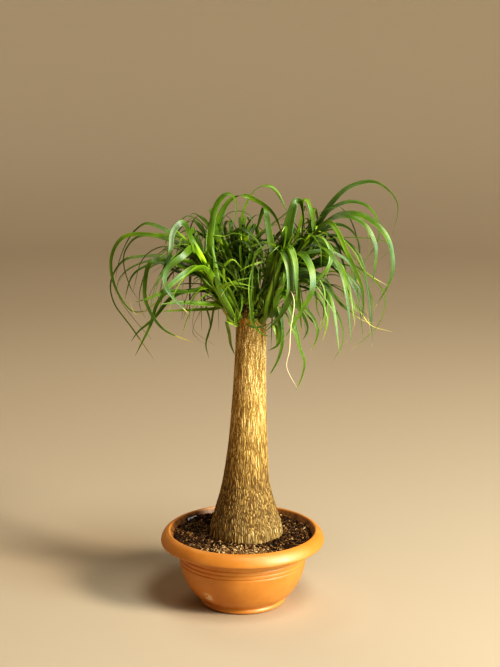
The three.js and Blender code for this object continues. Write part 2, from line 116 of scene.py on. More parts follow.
# Each corner of the pot's section is radius, height and how far the corner is rounded, in mm
POT_SECTION = [
    (0, 0, 0), (82, 0, 3), (84, 1.2, 1), (86.6, 3, 3), (87.2, 6, 3), (86, 8.8, 2), (84.4, 10.6, 2),
    (88, 14.5, 4), (98.6, 21.5, 8), (108, 33, 10), (116.2, 47, 12), (121.6, 60, 10), (125.2, 72, 8),
    (127.4, 84, 2), (127.5, 87, 0.8), (125.9, 88.7, 0.6), (128.1, 90.2, 1), (128.2, 95.3, 0.8),
    (126.6, 97, 0.6), (128.7, 98.5, 1), (128.9, 104.3, 0.8), (127.3, 106, 0.6), (129.3, 107.5, 1),
    (129.7, 119.5, 3), (131.5, 121.6, 3), (157, 125, 4), (163.4, 126.6, 1.4), (165, 129.8, 2.5),
    (164.2, 135, 5), (161.4, 141.6, 7), (156.4, 147.6, 6), (151.4, 150.4, 3), (149.2, 151.5, 1.2),
    (147, 151.3, 1.2), (145.2, 148.6, 2), (139, 139, 6), (125, 118, 14), (119, 68, 20), (94, 21, 14),
    (80, 6, 6), (0, 6, 0),
]
POT_COLOUR = (0.60, 0.250, 0.046, 1)
POT_DARK = (0.52, 0.204, 0.026, 1)
POT_SCUFF = (0.86, 0.66, 0.50, 1)
POT_DUST = (0.105, 0.046, 0.017, 1)
POT_GRAIN = 0.00006
# The pale scuff at the front left: its middle, and how far from it the marks end and are strongest,
# in metres
SCUFF_PLACE = (-0.0682, -0.0889, 0.040)
SCUFF_REACH = (0.016, 0.005)
# Where the dust inside begins and is full: radius and height, in metres
DUST_RADIUS = (0.1466, 0.1445)
DUST_HEIGHT = (0.130, 0.137)


def rounded_section(corners):
    """A section's points with every corner eased, in metres."""
    places = np.array([corner[:2] for corner in corners], float)
    section = [places[0]]
    for i in range(1, len(corners) - 1):
        before, after = places[i - 1] - places[i], places[i + 1] - places[i]
        long_before, long_after = np.linalg.norm(before), np.linalg.norm(after)
        ease = min(corners[i][2], 0.48 * long_before, 0.48 * long_after)
        start, end = places[i] + before / long_before * ease, places[i] + after / long_after * ease
        for step in np.linspace(0, 1, CORNER_STEPS):
            section.append((1 - step) ** 2 * start + 2 * step * (1 - step) * places[i] + step**2 * end)
    return np.array(section + [places[-1]]) * MM


def closed_faces(rows, sides):
    """Faces round rings of points, closed by a last but one point at the foot and a last one on top."""
    faces = wrapped_faces(rows, sides)
    foot, top, last = rows * sides, rows * sides + 1, (rows - 1) * sides
    for side in range(sides):
        following = (side + 1) % sides
        faces.append([foot, following, side])
        faces.append([top, last + side, last + following])
    return faces


def add_node(tree, kind, inputs=(), **options):
    """Adds a node, links or sets its live inputs by name or number, and returns its live outputs."""
    node = tree.nodes.new(kind)
    for option, value in options.items():
        setattr(node, option, value)
    live = [socket for socket in node.inputs if socket.enabled]
    for key, value in dict(inputs).items():
        socket = live[key] if isinstance(key, int) else next(s for s in live if s.name == key)
        if isinstance(value, bpy.types.NodeSocket):
            tree.links.new(value, socket)
        else:
            socket.default_value = value
    return [socket for socket in node.outputs if socket.enabled]


def object_place(tree):
    """The place on the piece that a material's patterns read."""
    return add_node(tree, "ShaderNodeTexCoord")[3]


def height_of(tree, place):
    """How high a place is."""
    return add_node(tree, "ShaderNodeSeparateXYZ", {0: place})[2]


def arithmetic(tree, operation, *values):
    """A sum, difference or other plain arithmetic of one or two values."""
    return add_node(tree, "ShaderNodeMath", dict(enumerate(values)), operation=operation)[0]


def product(tree, first, *others):
    """Values multiplied together."""
    for other in others:
        first = arithmetic(tree, "MULTIPLY", first, other)
    return first


def vector_arithmetic(tree, operation, *values):
    """The same for places and directions. SCALE takes a direction and then a plain factor."""
    return add_node(tree, "ShaderNodeVectorMath", dict(enumerate(values)), operation=operation)[0]


def fade(tree, value, start, end, low=0.0, high=1.0):
    """A value eased from low at start to high at end."""
    inputs = {"Value": value, "From Min": start, "From Max": end, "To Min": low, "To Max": high}
    return add_node(tree, "ShaderNodeMapRange", inputs, interpolation_type="SMOOTHSTEP")[0]


def speckle(tree, place, scale, detail=3.0, stretch=(1, 1, 1), roughness=0.55):
    """Fine noise with a given number of lumps to the metre, stretched along the axes."""
    stretched = add_node(tree, "ShaderNodeMapping", {"Vector": place, "Scale": stretch})[0]
    inputs = {"Vector": stretched, "Scale": scale, "Detail": detail, "Roughness": roughness}
    return add_node(tree, "ShaderNodeTexNoise", inputs)[0]


def blend_colours(tree, share, first, second):
    """One colour fading into another."""
    return add_node(tree, "ShaderNodeMix", {"Factor": share, "A": first, "B": second}, data_type="RGBA")[0]


def raise_grain(tree, shader, height, depth):
    """Bump of a given depth in metres."""
    inputs = {"Height": height, "Distance": depth, "Strength": 1.0}
    tree.links.new(add_node(tree, "ShaderNodeBump", inputs)[0], shader["Normal"])


pot_finish, pot_tree, pot_shader = new_material("satin_terracotta_plastic", 0.5, 0.8)
place = object_place(pot_tree)
mottle = fade(pot_tree, speckle(pot_tree, place, 16, 4), 0.35, 0.7)
pot_colour = blend_colours(pot_tree, mottle, POT_DARK, POT_COLOUR)
near_scuff = fade(pot_tree, vector_arithmetic(pot_tree, "DISTANCE", place, SCUFF_PLACE), *SCUFF_REACH)
scuff_marks = fade(pot_tree, speckle(pot_tree, place, 90, 5, (1, 1, 2.5)), 0.36, 0.56)
scuff = product(pot_tree, near_scuff, scuff_marks, 0.75)
pot_colour = blend_colours(pot_tree, scuff, pot_colour, POT_SCUFF)
from_axis = vector_arithmetic(pot_tree, "LENGTH", vector_arithmetic(pot_tree, "MULTIPLY", place, (1, 1, 0)))
inside = fade(pot_tree, from_axis, *DUST_RADIUS)
inside = product(pot_tree, inside, fade(pot_tree, height_of(pot_tree, place), *DUST_HEIGHT))
dust_patches = fade(pot_tree, speckle(pot_tree, place, 70, 4, (1, 1, 0.7)), 0.38, 0.66, 0.55, 0.95)
pot_colour = blend_colours(pot_tree, product(pot_tree, inside, dust_patches), pot_colour, POT_DUST)
pot_tree.links.new(pot_colour, pot_shader["Base Color"])
rub = fade(pot_tree, speckle(pot_tree, place, 34, 6, (1, 1, 3)), 0.3, 0.75, 0.42, 0.56)
pot_tree.links.new(rub, pot_shader["Roughness"])
raise_grain(pot_tree, pot_shader, speckle(pot_tree, place, 700, 2), POT_GRAIN)

pot_section = rounded_section(POT_SECTION)
pot_rings = [ring(radius, height, POT_SIDES) for radius, height in pot_section[1:-1]]
pot_middles = [[0, 0, pot_section[0][1]], [0, 0, pot_section[-1][1]]]
pot_points = np.concatenate([*pot_rings, pot_middles])
pot = add_piece("bowl_planter", pot_points, closed_faces(len(pot_rings), POT_SIDES))
pot.data.materials.append(pot_finish)
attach(pot, "root")
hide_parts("pot")


# The soil: dark crumbly potting mix that fills the bowl to a finger's width below its rim, with a
# pit for the trunk's foot. Loose crumbs, bark chips and pale grit lie scattered all over its top.
SOIL_SIDES = 240
SOIL_ROWS = 44
# The soil's level, edge and foot, its wall against the pot, and the pit's place, foot and wall. The
# walls are rows of radius and height.
SOIL_LEVEL = 140.7
SOIL_RADIUS = 138.5
SOIL_FOOT = 6.3
SOIL_WALL = [(80, 6.3), (93.6, 21), (118.6, 68), (124.6, 118), (138.5, 138.6)]
PIT_X = 9
PIT_FOOT = 88
PIT_WALL = [(72.5, 122), (70, 112), (52, 92)]
# The clods' height and size, and the level that their noise is read at, in mm
SOIL_CLODS = [(1.9, 11, 3), (1.3, 4.6, 40), (0.9, 2.4, 80)]
# Soil heaped against the trunk: its height, the trunk's radius there, and how far out the heap goes
HEAP_HEIGHT, HEAP_START, HEAP_REACH = 2.5, 72, 16
# The pale grit in front: how far forward it starts, over what distance it comes in full, and how
# far right its middle is and how far it spreads, in mm
GRIT_START, GRIT_FADE, GRIT_MIDDLE, GRIT_SPREAD = 72, 30, -4, 62
# Each layer of crumbs: number to the square metre, least and most size in mm, flatness, length,
# least and most paleness, and where on the soil
SOIL_LAYERS = [
    (50000, 1.0, 3.2, 0.75, 1.3, 0.06, 0.50, "top"),
    (9000, 2.2, 4.6, 0.6, 1.4, 0.14, 0.56, "top"),
    (6500, 0.8, 2.2, 0.5, 2.6, 0.52, 0.90, "top"),
    (2600, 0.7, 1.2, 0.5, 7.0, 0.45, 0.80, "top"),
    (42000, 0.9, 2.4, 0.55, 2.2, 0.54, 1.0, "front"),
]
SOIL_TINTS = [
    (0.0, (0.010, 0.005, 0.002, 1)), (0.3, (0.036, 0.016, 0.006, 1)), (0.5, (0.095, 0.043, 0.014, 1)),
    (0.7, (0.25, 0.135, 0.045, 1)), (0.88, (0.50, 0.32, 0.14, 1)), (1.0, (0.72, 0.55, 0.33, 1)),
]
SOIL_GRAIN = 0.0008
DENT_DEPTH = 0.0036


def lumps(point, size):
    """Smooth noise from -1 to 1 with lumps of a given size, both in millimetres."""
    return noise.noise(np.asarray(point) / size)


def read_value(tree, label):
    """A value stored on the piece under a name, as its material reads it."""
    return add_node(tree, "ShaderNodeAttribute", attribute_name=label)[2]


def add_ramp(tree, share, stops):
    """A colour read off a row of stops."""
    node = tree.nodes.new("ShaderNodeValToRGB")
    elements = node.color_ramp.elements
    elements.remove(elements[1])
    elements[0].position, elements[0].color = stops[0]
    for position, colour in stops[1:]:
        elements.new(position).color = colour
    tree.links.new(share, node.inputs["Fac"])
    return node.outputs["Color"]


def new_tree(name, sizes):
    """A geometry tree with named inputs, its input node's sockets by name, and its output node."""
    tree = bpy.data.node_groups.new(name, "GeometryNodeTree")
    for label, kind in {"Geometry": "Geometry", **sizes}.items():
        tree.interface.new_socket(label, in_out="INPUT", socket_type="NodeSocket" + kind)
    tree.interface.new_socket("Geometry", in_out="OUTPUT", socket_type="NodeSocketGeometry")
    given = {socket.name: socket for socket in tree.nodes.new("NodeGroupInput").outputs}
    return tree, given, tree.nodes.new("NodeGroupOutput").inputs[0]


def grow_mesh(piece, tree, layers):
    """Runs the tree on the piece once for each layer of settings, and keeps the plain mesh."""
    sockets = [item for item in tree.interface.items_tree if item.item_type == "SOCKET"]
    sockets = [socket for socket in sockets if socket.in_out == "INPUT"]
    for settings in layers:
        modifier = piece.modifiers.new(tree.name, "NODES")
        modifier.node_group = tree
        for socket in sockets:
            if socket.name in settings:
                modifier[socket.identifier] = settings[socket.name]
    grown = bpy.data.meshes.new_from_object(piece.evaluated_get(bpy.context.evaluated_depsgraph_get()))
    piece.modifiers.clear()
    grown.name = piece.name
    piece.data = grown


def named(tree, label, kind="FLOAT"):
    """A value stored on the geometry under a name."""
    return add_node(tree, "GeometryNodeInputNamedAttribute", {"Name": label}, data_type=kind)[0]


def store(tree, geometry, label, value, domain="POINT"):
    """Geometry with a value stored on it under a name."""
    inputs = {"Geometry": geometry, "Name": label, "Value": value}
    return add_node(tree, "GeometryNodeStoreNamedAttribute", inputs, data_type="FLOAT", domain=domain)[0]


def changed(tree, kind, geometry, inputs=()):
    """Geometry after a node that changes it."""
    return add_node(tree, "GeometryNode" + kind, {"Geometry": geometry, **dict(inputs)})[0]


def joined(tree, *parts):
    """Geometry joined in one."""
    node = tree.nodes.new("GeometryNodeJoinGeometry")
    for part in parts:
        tree.links.new(part, node.inputs[0])
    return node.outputs[0]


def set_values(mesh, label, values):
    """Stores one number for each point of the mesh."""
    mesh.attributes.new(label, "FLOAT", "POINT").data.foreach_set("value", np.asarray(values, np.float32))


def scatter_tree():
    """Crumbs strewn over part of a surface, each one turned, sized, toned and dented by chance."""
    tree, given, result = new_tree("strewn_crumbs", {
        "Number": "Float", "Least Size": "Float", "Most Size": "Float", "Flatness": "Float",
        "Length": "Float", "Least Tone": "Float", "Most Tone": "Float", "Where": "String",
        "Seed": "Int", "Material": "Material",
    })
    number = product(tree, given["Number"], named(tree, given["Where"]))
    spread = {"Mesh": given["Geometry"], "Density": number, "Seed": given["Seed"]}
    points = add_node(tree, "GeometryNodeDistributePointsOnFaces", spread)[0]

    def chance(low, high, shift, kind="FLOAT"):
        """A value drawn by chance for each crumb."""
        inputs = {"Min": low, "Max": high, "Seed": arithmetic(tree, "ADD", given["Seed"], shift)}
        return add_node(tree, "FunctionNodeRandomValue", inputs, data_type=kind)[0]

    turn = chance((-0.5, -0.5, 0), (0.5, 0.5, 6.28), 1, "FLOAT_VECTOR")
    turn = add_node(tree, "FunctionNodeEulerToRotation", {0: turn})[0]
    size = chance(given["Least Size"], given["Most Size"], 2)
    shape = {"X": given["Length"], "Y": 1.0, "Z": given["Flatness"]}
    shape = add_node(tree, "ShaderNodeCombineXYZ", shape)[0]
    uneven = chance((0.6, 0.7, 0.7), (1.2, 1.2, 1.3), 3, "FLOAT_VECTOR")
    uneven = vector_arithmetic(tree, "MULTIPLY", shape, uneven)
    scale = vector_arithmetic(tree, "SCALE", uneven, size)
    crumb = add_node(tree, "GeometryNodeMeshIcoSphere", {"Radius": 1.0, "Subdivisions": 1})[0]
    placed = {"Points": points, "Instance": crumb, "Rotation": turn, "Scale": scale}
    crumbs = add_node(tree, "GeometryNodeInstanceOnPoints", placed)[0]
    crumbs = store(tree, crumbs, "tone", chance(given["Least Tone"], given["Most Tone"], 4), "INSTANCE")
    crumbs = changed(tree, "RealizeInstances", crumbs)
    position = add_node(tree, "GeometryNodeInputPosition")[0]
    dents = add_node(tree, "ShaderNodeTexNoise", {"Vector": position, "Scale": 420.0, "Detail": 1.0})[1]
    dents = vector_arithmetic(tree, "SUBTRACT", dents, (0.5, 0.5, 0.5))
    dents = vector_arithmetic(tree, "SCALE", dents, DENT_DEPTH)
    crumbs = changed(tree, "SetPosition", crumbs, {"Offset": dents})
    crumbs = changed(tree, "SetShadeSmooth", crumbs, {"Shade Smooth": False})
    crumbs = changed(tree, "SetMaterial", crumbs, {"Material": given["Material"]})
    tree.links.new(joined(tree, given["Geometry"], crumbs), result)
    return tree


soil_finish, soil_tree, soil_shader = new_material("potting_mix", 0.95, 0.25)
fine = speckle(soil_tree, object_place(soil_tree), 520, 4)
mottle = fade(soil_tree, fine, 0.3, 0.7, -0.10, 0.10)
soil_tone = arithmetic(soil_tree, "ADD", read_value(soil_tree, "tone"), mottle)
soil_tree.links.new(add_ramp(soil_tree, soil_tone, SOIL_TINTS), soil_shader["Base Color"])
raise_grain(soil_tree, soil_shader, fine, SOIL_GRAIN)


def soil_top(point):
    """Height of the soil's top: clods and crumbs, a little heaped against the trunk."""
    x, y = point
    clods = sum(height * lumps((x, y, level), size) for height, size, level in SOIL_CLODS)
    heap = HEAP_HEIGHT * max(0.0, 1 - (math.hypot(x - PIT_X, y) - HEAP_START) / HEAP_REACH)
    return SOIL_LEVEL + clods + heap


soil_rings = [ring(radius, height, SOIL_SIDES) for radius, height in SOIL_WALL]
soil_edge, pit_edge = ring(SOIL_RADIUS, 0, SOIL_SIDES), ring(PIT_WALL[0][0], 0, SOIL_SIDES, PIT_X)
for share in np.linspace(0.004, 1, SOIL_ROWS):
    row = soil_edge * (1 - share) + pit_edge * share
    row[:, 2] = [soil_top(point) for point in row[:, :2]]
    soil_rings.append(row)
soil_rings += [ring(radius, height, SOIL_SIDES, PIT_X) for radius, height in PIT_WALL]
soil_points = np.concatenate([*soil_rings, [[0, 0, SOIL_FOOT], [PIT_X, 0, PIT_FOOT]]]) * MM
soil = add_piece("potting_soil", soil_points, closed_faces(len(soil_rings), SOIL_SIDES))
on_top = np.zeros(len(soil_points))
on_top[(len(SOIL_WALL) + 1) * SOIL_SIDES : (len(SOIL_WALL) + SOIL_ROWS - 1) * SOIL_SIDES] = 1
soil_x, soil_y = soil_points[:, 0] / MM, soil_points[:, 1] / MM
in_front = np.clip((-soil_y - GRIT_START) / GRIT_FADE, 0, 1)
in_front *= np.clip(1.4 - np.abs(soil_x - GRIT_MIDDLE) / GRIT_SPREAD, 0, 1)
set_values(soil.data, "top", on_top)
set_values(soil.data, "front", on_top * in_front)
set_values(soil.data, "tone", [0.2 + 0.16 * lumps(point / MM, 7) for point in soil_points])
soil.data.materials.append(soil_finish)
crumb_layers = []
for index, (number, least, most, flat, length, dark, pale, where) in enumerate(SOIL_LAYERS):
    crumb_layers.append({
        "Number": float(number), "Least Size": least * MM, "Most Size": most * MM, "Flatness": flat,
        "Length": length, "Least Tone": dark, "Most Tone": pale, "Where": where,
        "Seed": index * 7 + 3, "Material": soil_finish,
    })
grow_mesh(soil, scatter_tree(), crumb_layers)
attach(soil, "root")
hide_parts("soil")


# The trunk: corky tan bark, split into long upright plates by dark wandering fissures, on a leaning
# column that swells into a bulb at the soil. Its top was sawn off, and a dark ragged stub stands there.
TRUNK_SIDES = 320
TRUNK_ROWS = 290
TRUNK_TOP = 592
# How far right of the pot's centre the trunk's foot stands, how much farther right its top leans,
# and how far below the top that lean begins
TRUNK_BASE_X = 9
TRUNK_LEAN = 9.5
LEAN_HEIGHT = 342
# Radius and height of the trunk above the soil, and of its foot in the pit
TRUNK_OUTSIDE = [
    (70, 116), (73.5, 143), (71.2, 163), (62, 195), (51.8, 230), (45.2, 265), (40.2, 317), (35.6, 386),
    (31.8, 472), (29.9, 562), (30.4, 589),
]
TRUNK_BURIED = [(20, 85), (52, 90), (64, 104)]
TRUNK_FOOT = 84
# The cut's rings inside the rim: radius, height, how far it stands up at the back, how dark it is
TRUNK_CUT = [
    (29.9, 591.6, 0, 0.15), (28.4, 592.4, 0, 0.3), (25.6, 592, 0, 0.45), (22, 593.4, 0, 0.5),
    (20.2, 598, 1, 0.6), (19.6, 604, 3, 0.85), (18.8, 609, 5, 0.95), (17.6, 611, 6, 1), (16, 609, 5, 1),
    (14.4, 602, 0, 1), (8, 600, 0, 1),
]
# The rim's radius, the height of the stub's last point, and how high the rim's torn bark stands
CUT_RADIUS, CUT_MIDDLE, TORN_RIM = 31.4, 599, 1.6
# How far left of the trunk's axis its bark's centre lies at a height
BARK_SHIFT = ([116, 200, 480, 592], [1.6, 2.2, 2.2, 0.4])
# How many upright ridges the trunk has, how high they are in mm, the height where they begin to
# show, and how far above that they show in full
BARK_RIDGES, BARK_RELIEF, RIDGE_START, RIDGE_FADE = 15, 0.25, 139, 40
# The height where the cut's colour begins to stain the bark, and how far above that it is full
STAIN_START, STAIN_FADE = 572, 8
# How deep the relief of the plates is where the trunk is slim, how much deeper on the bulb, and
# the two radii
SLIM_DEPTH, BULB_DEPTH, SLIM_RADIUS, BULB_RADIUS = 0.22, 0.85, 30, 73
# A bark plate's width in mm, its width as a share of its length, and how far its edge slopes
PLATE_WIDTH, PLATE_SLIMNESS, PLATE_EDGE = 4.7, 0.055, 0.42
# Fine fissures: plates to the metre, their width as a share of their length, the fissure's width
BARK_FISSURES = ((285, 0.05, 0.28), (440, 0.42, 0.14))
BARK_TINTS = [
    (0.0, (0.042, 0.021, 0.007, 1)), (0.25, (0.17, 0.095, 0.027, 1)), (0.5, (0.40, 0.25, 0.072, 1)),
    (0.75, (0.66, 0.44, 0.160, 1)), (1.0, (0.83, 0.635, 0.35, 1)),
]
BARK_GREY = (0.27, 0.19, 0.085, 1)
BARK_GRAIN = 0.0006
CUT_DARK = (0.020, 0.012, 0.014, 1)
CUT_RUST = (0.50, 0.25, 0.05, 1)


def curve_through(known, step):
    """Places on the smooth curve through a row of points with one more before and one after it."""
    start = np.minimum(step.astype(int), len(known) - 4)
    part = (step - start)[:, None]
    a, b, c, d = (known[start + shift] for shift in range(4))
    return b + 0.5 * part * (c - a + part * (2 * a - 5 * b + 4 * c - d + part * (3 * b - a - 3 * c + d)))


def spaced_evenly(curve, count):
    """Points evenly spaced by length along a curve, and its length."""
    length = np.concatenate([[0], np.cumsum(np.linalg.norm(np.diff(curve, axis=0), axis=1))])
    even = np.linspace(0, length[-1], count)
    points = [np.interp(even, length, curve[:, axis]) for axis in range(curve.shape[1])]
    return np.stack(points, -1), length[-1]


def trunk_axis(height):
    """How far right of the pot's centre the trunk's axis is at a height."""
    below = np.clip((TRUNK_TOP - height) / LEAN_HEIGHT, 0, 1)
    return TRUNK_BASE_X + TRUNK_LEAN * (1 - below * below)


def bark_axis(height):
    """How far right of the pot's centre the middle of the bark is at a height."""
    return trunk_axis(height) - np.interp(height, *BARK_SHIFT)


def bark_swell(angle, height):
    """The trunk's large upright ridges."""
    shown = np.clip((height - RIDGE_START) / RIDGE_FADE, 0, 1)
    wander = 1.3 * math.sin(height / 37) + 0.8 * math.sin(height / 16 + 2 * angle)
    ridge = math.sin(BARK_RIDGES * angle + wander) + 0.5 * math.sin(7 * angle + height / 24)
    return BARK_RELIEF * shown * ridge


def bark_plate(x, y, z):
    """Height of the bark at a place: 0 in a fissure, 1 on the narrow upright plates between them."""
    sway_x = 2.0 * lumps((x, y, z * 0.6), 15) + 0.7 * lumps((x, y + 50, z), 5)
    sway_y = 2.0 * lumps((x + 90, y, z * 0.6), 15) + 0.7 * lumps((x, y - 50, z), 5)
    cells = ((x + sway_x) / PLATE_WIDTH, (y + sway_y) / PLATE_WIDTH, z * PLATE_SLIMNESS / PLATE_WIDTH)
    nearest, second = noise.voronoi(cells)[0][:2]
    return min(1.0, (second - nearest) / PLATE_EDGE)


def torn_rim(across, back):
    """How far the sawn rim stands up or down, raggedly, on one side of the trunk."""
    return TORN_RIM * lumps((30 * across, 30 * back, 7), 5)


def bark_place(angle, radius, height):
    """A place on the bark, how high its plate is, and how much of the cut's colour it has."""
    across, back = math.cos(angle), math.sin(angle)
    plate = bark_plate(radius * across, radius * back, height)
    fine = lumps((radius * across, radius * back, height * 0.3), 3)
    depth = SLIM_DEPTH + BULB_DEPTH * (radius - SLIM_RADIUS) / (BULB_RADIUS - SLIM_RADIUS)
    grown = radius + bark_swell(angle, height) + depth * (plate - 0.6) + 0.2 * fine
    lip = torn_rim(across, back) * max(0.0, (height - TRUNK_TOP + 12) / 12)
    place = [grown * across + bark_axis(height), grown * back, height + lip]
    stain = 0.3 * np.clip((height - STAIN_START + 4 * fine) / STAIN_FADE, 0, 1)
    return place, plate * (0.85 + 0.2 * fine), stain


def cut_place(angle, radius, height, raised, darkness):
    """A place on the sawn top or its ragged stub, with the same two values."""
    across, back = math.cos(angle), math.sin(angle)
    inward = (CUT_RADIUS - radius) / CUT_RADIUS
    rough = 0.5 * lumps((radius * across, radius * back, 90), 2)
    grown = radius + bark_swell(angle, height) * (1 - inward) + rough
    torn = torn_rim(across, back) * max(0.0, 1 - 4 * inward)
    torn += 1.1 * lumps((radius * across, radius * back, 0), 3)
    torn += raised * (back + 0.9 * lumps((20 * across, 20 * back, 3), 7))
    return [grown * across + bark_axis(height), grown * back, height + torn], 0.6, darkness


known_sides = np.array([TRUNK_OUTSIDE[0], *TRUNK_OUTSIDE, TRUNK_OUTSIDE[-1]], float)
side_steps = np.linspace(0, len(TRUNK_OUTSIDE) - 1, 40 * len(TRUNK_OUTSIDE))
trunk_side, _ = spaced_evenly(curve_through(known_sides, side_steps), TRUNK_ROWS)
trunk_angles = np.arange(TRUNK_SIDES) * math.tau / TRUNK_SIDES
trunk_places = [bark_place(angle, *row) for row in trunk_side for angle in trunk_angles]
trunk_places += [cut_place(angle, *row) for row in TRUNK_CUT for angle in trunk_angles]
trunk_points, plate_heights, cut_shares = zip(*trunk_places)
buried = [ring(radius, height, TRUNK_SIDES, TRUNK_BASE_X) for radius, height in TRUNK_BURIED]
trunk_middles = [[TRUNK_BASE_X, 0, TRUNK_FOOT], [bark_axis(CUT_MIDDLE), 0, CUT_MIDDLE]]
trunk_points = np.concatenate([*buried, trunk_points, trunk_middles]) * MM
trunk_rows = len(buried) + TRUNK_ROWS + len(TRUNK_CUT)
trunk = add_piece("trunk_bark", trunk_points, closed_faces(trunk_rows, TRUNK_SIDES))
under = [0.0] * (len(buried) * TRUNK_SIDES)
set_values(trunk.data, "plate", [*under, *plate_heights, 0, 0.5])
set_values(trunk.data, "cut", [*under, *cut_shares, 0, 1])

bark_finish, bark_tree, bark_shader = new_material("corky_bark", 0.88, 0.25)
place = object_place(bark_tree)
height = height_of(bark_tree, place)
fibre = speckle(bark_tree, place, 560, 4, (1, 1, 0.09), 0.65)
flake = speckle(bark_tree, place, 150, 3, (1, 1, 0.3))
sway = add_node(bark_tree, "ShaderNodeTexNoise", {"Vector": place, "Scale": 48.0, "Detail": 2.0})[1]
swayed = vector_arithmetic(bark_tree, "ADD", place, vector_arithmetic(bark_tree, "SCALE", sway, 0.009))
cracks = []
for plates, slimness, width in BARK_FISSURES:
    cells = add_node(bark_tree, "ShaderNodeMapping", {"Vector": swayed, "Scale": (1, 1, slimness)})[0]
    cells = {"Vector": cells, "Scale": float(plates)}
    edge_near = add_node(bark_tree, "ShaderNodeTexVoronoi", cells, feature="DISTANCE_TO_EDGE")[0]
    cracks.append(fade(bark_tree, edge_near, 0.0, width))
blocks = arithmetic(bark_tree, "MAXIMUM", cracks[1], fade(bark_tree, height, 0.55, 0.28, 0.58, 0.9))
worn = fade(bark_tree, height, 0.16, 0.42, 0.32, 0.58)
groove = product(bark_tree, fade(bark_tree, cracks[0], 0.0, 1.0, worn, 1.06), blocks)
plate = read_value(bark_tree, "plate")
relief = fade(bark_tree, plate, 0.0, 0.8, arithmetic(bark_tree, "ADD", worn, 0.2), 1.04)
shade = product(
    bark_tree,
    groove,
    fade(bark_tree, fibre, 0.34, 0.62, 0.78, 1.0),
    relief,
    fade(bark_tree, flake, 0.3, 0.7, 0.95, 1.05),
    # Painted light: the bark is darker low on the trunk and lighter towards the top, against the crown's
    # shadow, and lighter again on the bulb below the pot's rim, against the rim's shade
    fade(bark_tree, height, 0.22, 0.53, 0.75, 1.15),
    fade(bark_tree, height, 0.15, 0.20, 1.42, 1.0),
)
grey = product(
    bark_tree,
    fade(bark_tree, height, 0.34, 0.15),
    fade(bark_tree, speckle(bark_tree, place, 60, 4, (1, 1, 0.5)), 0.35, 0.65, 0.2, 0.85),
    fade(bark_tree, groove, 0.45, 0.95, 0.15, 1.0),
)
bark_colour = blend_colours(bark_tree, grey, add_ramp(bark_tree, shade, BARK_TINTS), BARK_GREY)
cut = read_value(bark_tree, "cut")
rust = fade(bark_tree, speckle(bark_tree, place, 190, 3), 0.4, 0.6, 0.25, 1.0)
cut_colour = blend_colours(bark_tree, fade(bark_tree, cut, 0.55, 0.95), CUT_RUST, CUT_DARK)
cut_share = product(bark_tree, fade(bark_tree, cut, 0.05, 0.4), rust)
bark_tree.links.new(blend_colours(bark_tree, cut_share, bark_colour, cut_colour), bark_shader["Base Color"])
raise_grain(bark_tree, bark_shader, arithmetic(bark_tree, "ADD", fibre, cracks[0]), BARK_GRAIN)
trunk.data.materials.append(bark_finish)
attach(trunk, "root")
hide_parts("trunk")


# The leafy heads: five shoots that grew from the trunk's rim, each a short stem clasped by pale leaf
# bases, whose long strap leaves rise, arch over and hang. A small young shoot stands in front.
LEAF_SIDES = 12
LEAF_STATIONS, YOUNG_STATIONS, SCRAP_STATIONS, SHEATH_STATIONS, STEM_STATIONS = 52, 28, 20, 16, 24
# A blade's thickness, its ripple and its hollow along the middle, as shares of its half width
LEAF_THICKNESS, LEAF_RIPPLE, LEAF_HOLLOW = 0.075, 0.22, 0.16
# How much wider and how much more hollow a leaf's foot is, and how far up in mm each of them fades
FOOT_SPREAD, SPREAD_REACH = 0.45, 14
FOOT_HOLLOW, HOLLOW_REACH = 0.4, 26
# How far in degrees a leaf rolls over towards its tip
ROLL = 45
# The least tone of broad and of thin leaves, the width in mm between them, and the range above it. The thin
# leaves' higher least tone is painted light, which lightens them where they face away from the lamps
BROAD_TONE, THIN_PAINTED_LIGHT_TONE, BROAD_WIDTH, TONE_RANGE = 0.36, 0.52, 6, 0.32
# How far in mm a leaf's pale base reaches
BLANCH = 24
# Dry tips by chance: the range of their share of the length, and what is taken off it
DRY_RANGE, DRY_LESS = 0.14, 0.095
# How much lighter a leaf is painted in front and darker behind, as painted light and shade, and how far off
# in mm that is full
PAINTED_FRONT_LIGHT, FRONT_DEPTH = 0.05, 80
# How a leaf is kept clear of the other heads and of the trunk: the places measured along it, the gap
# and the distance from the trunk's axis in mm, and the moves to or from the viewer that are tried
PROBES = 24
LEAF_CLEARANCE = 1.5
TRUNK_CLEARANCE = 46
MOVES = (0, 10, -10, 20, -20, 30, -30, 45, -45)
# What counts as hanging before the trunk: below this height, and this near its axis, in mm
FRONT_BELOW, FRONT_NEAR = 602, 42
# The share of the stem that a leaf's base clasps, and how far the bases flare towards the stem's end
CLASP_SHARE = 0.42
FLARE = 1.0
# How far apart the clasping bases are up a stem in mm, the turn in radians from one to the next, and
# how many points along the stem they are placed by
SHEATH_STEP, LEAF_ANGLE, STEM_POINTS = 5, 2.4, 60
# Young leaves in a head's heart, needle-thin ones on the young shoot, whose stem is the thinnest
YOUNG_LEAVES, SPIKES, SMALL_RADIUS = 8, 16, 5
# How far up, how far out and how far fallen a young leaf is along its route
YOUNG_STAGES = ((0, 0.02, 0), (0.35, 0.12, 0), (0.7, 0.4, 0), (0.95, 0.85, 0.1), (0.92, 1.25, 0.4))
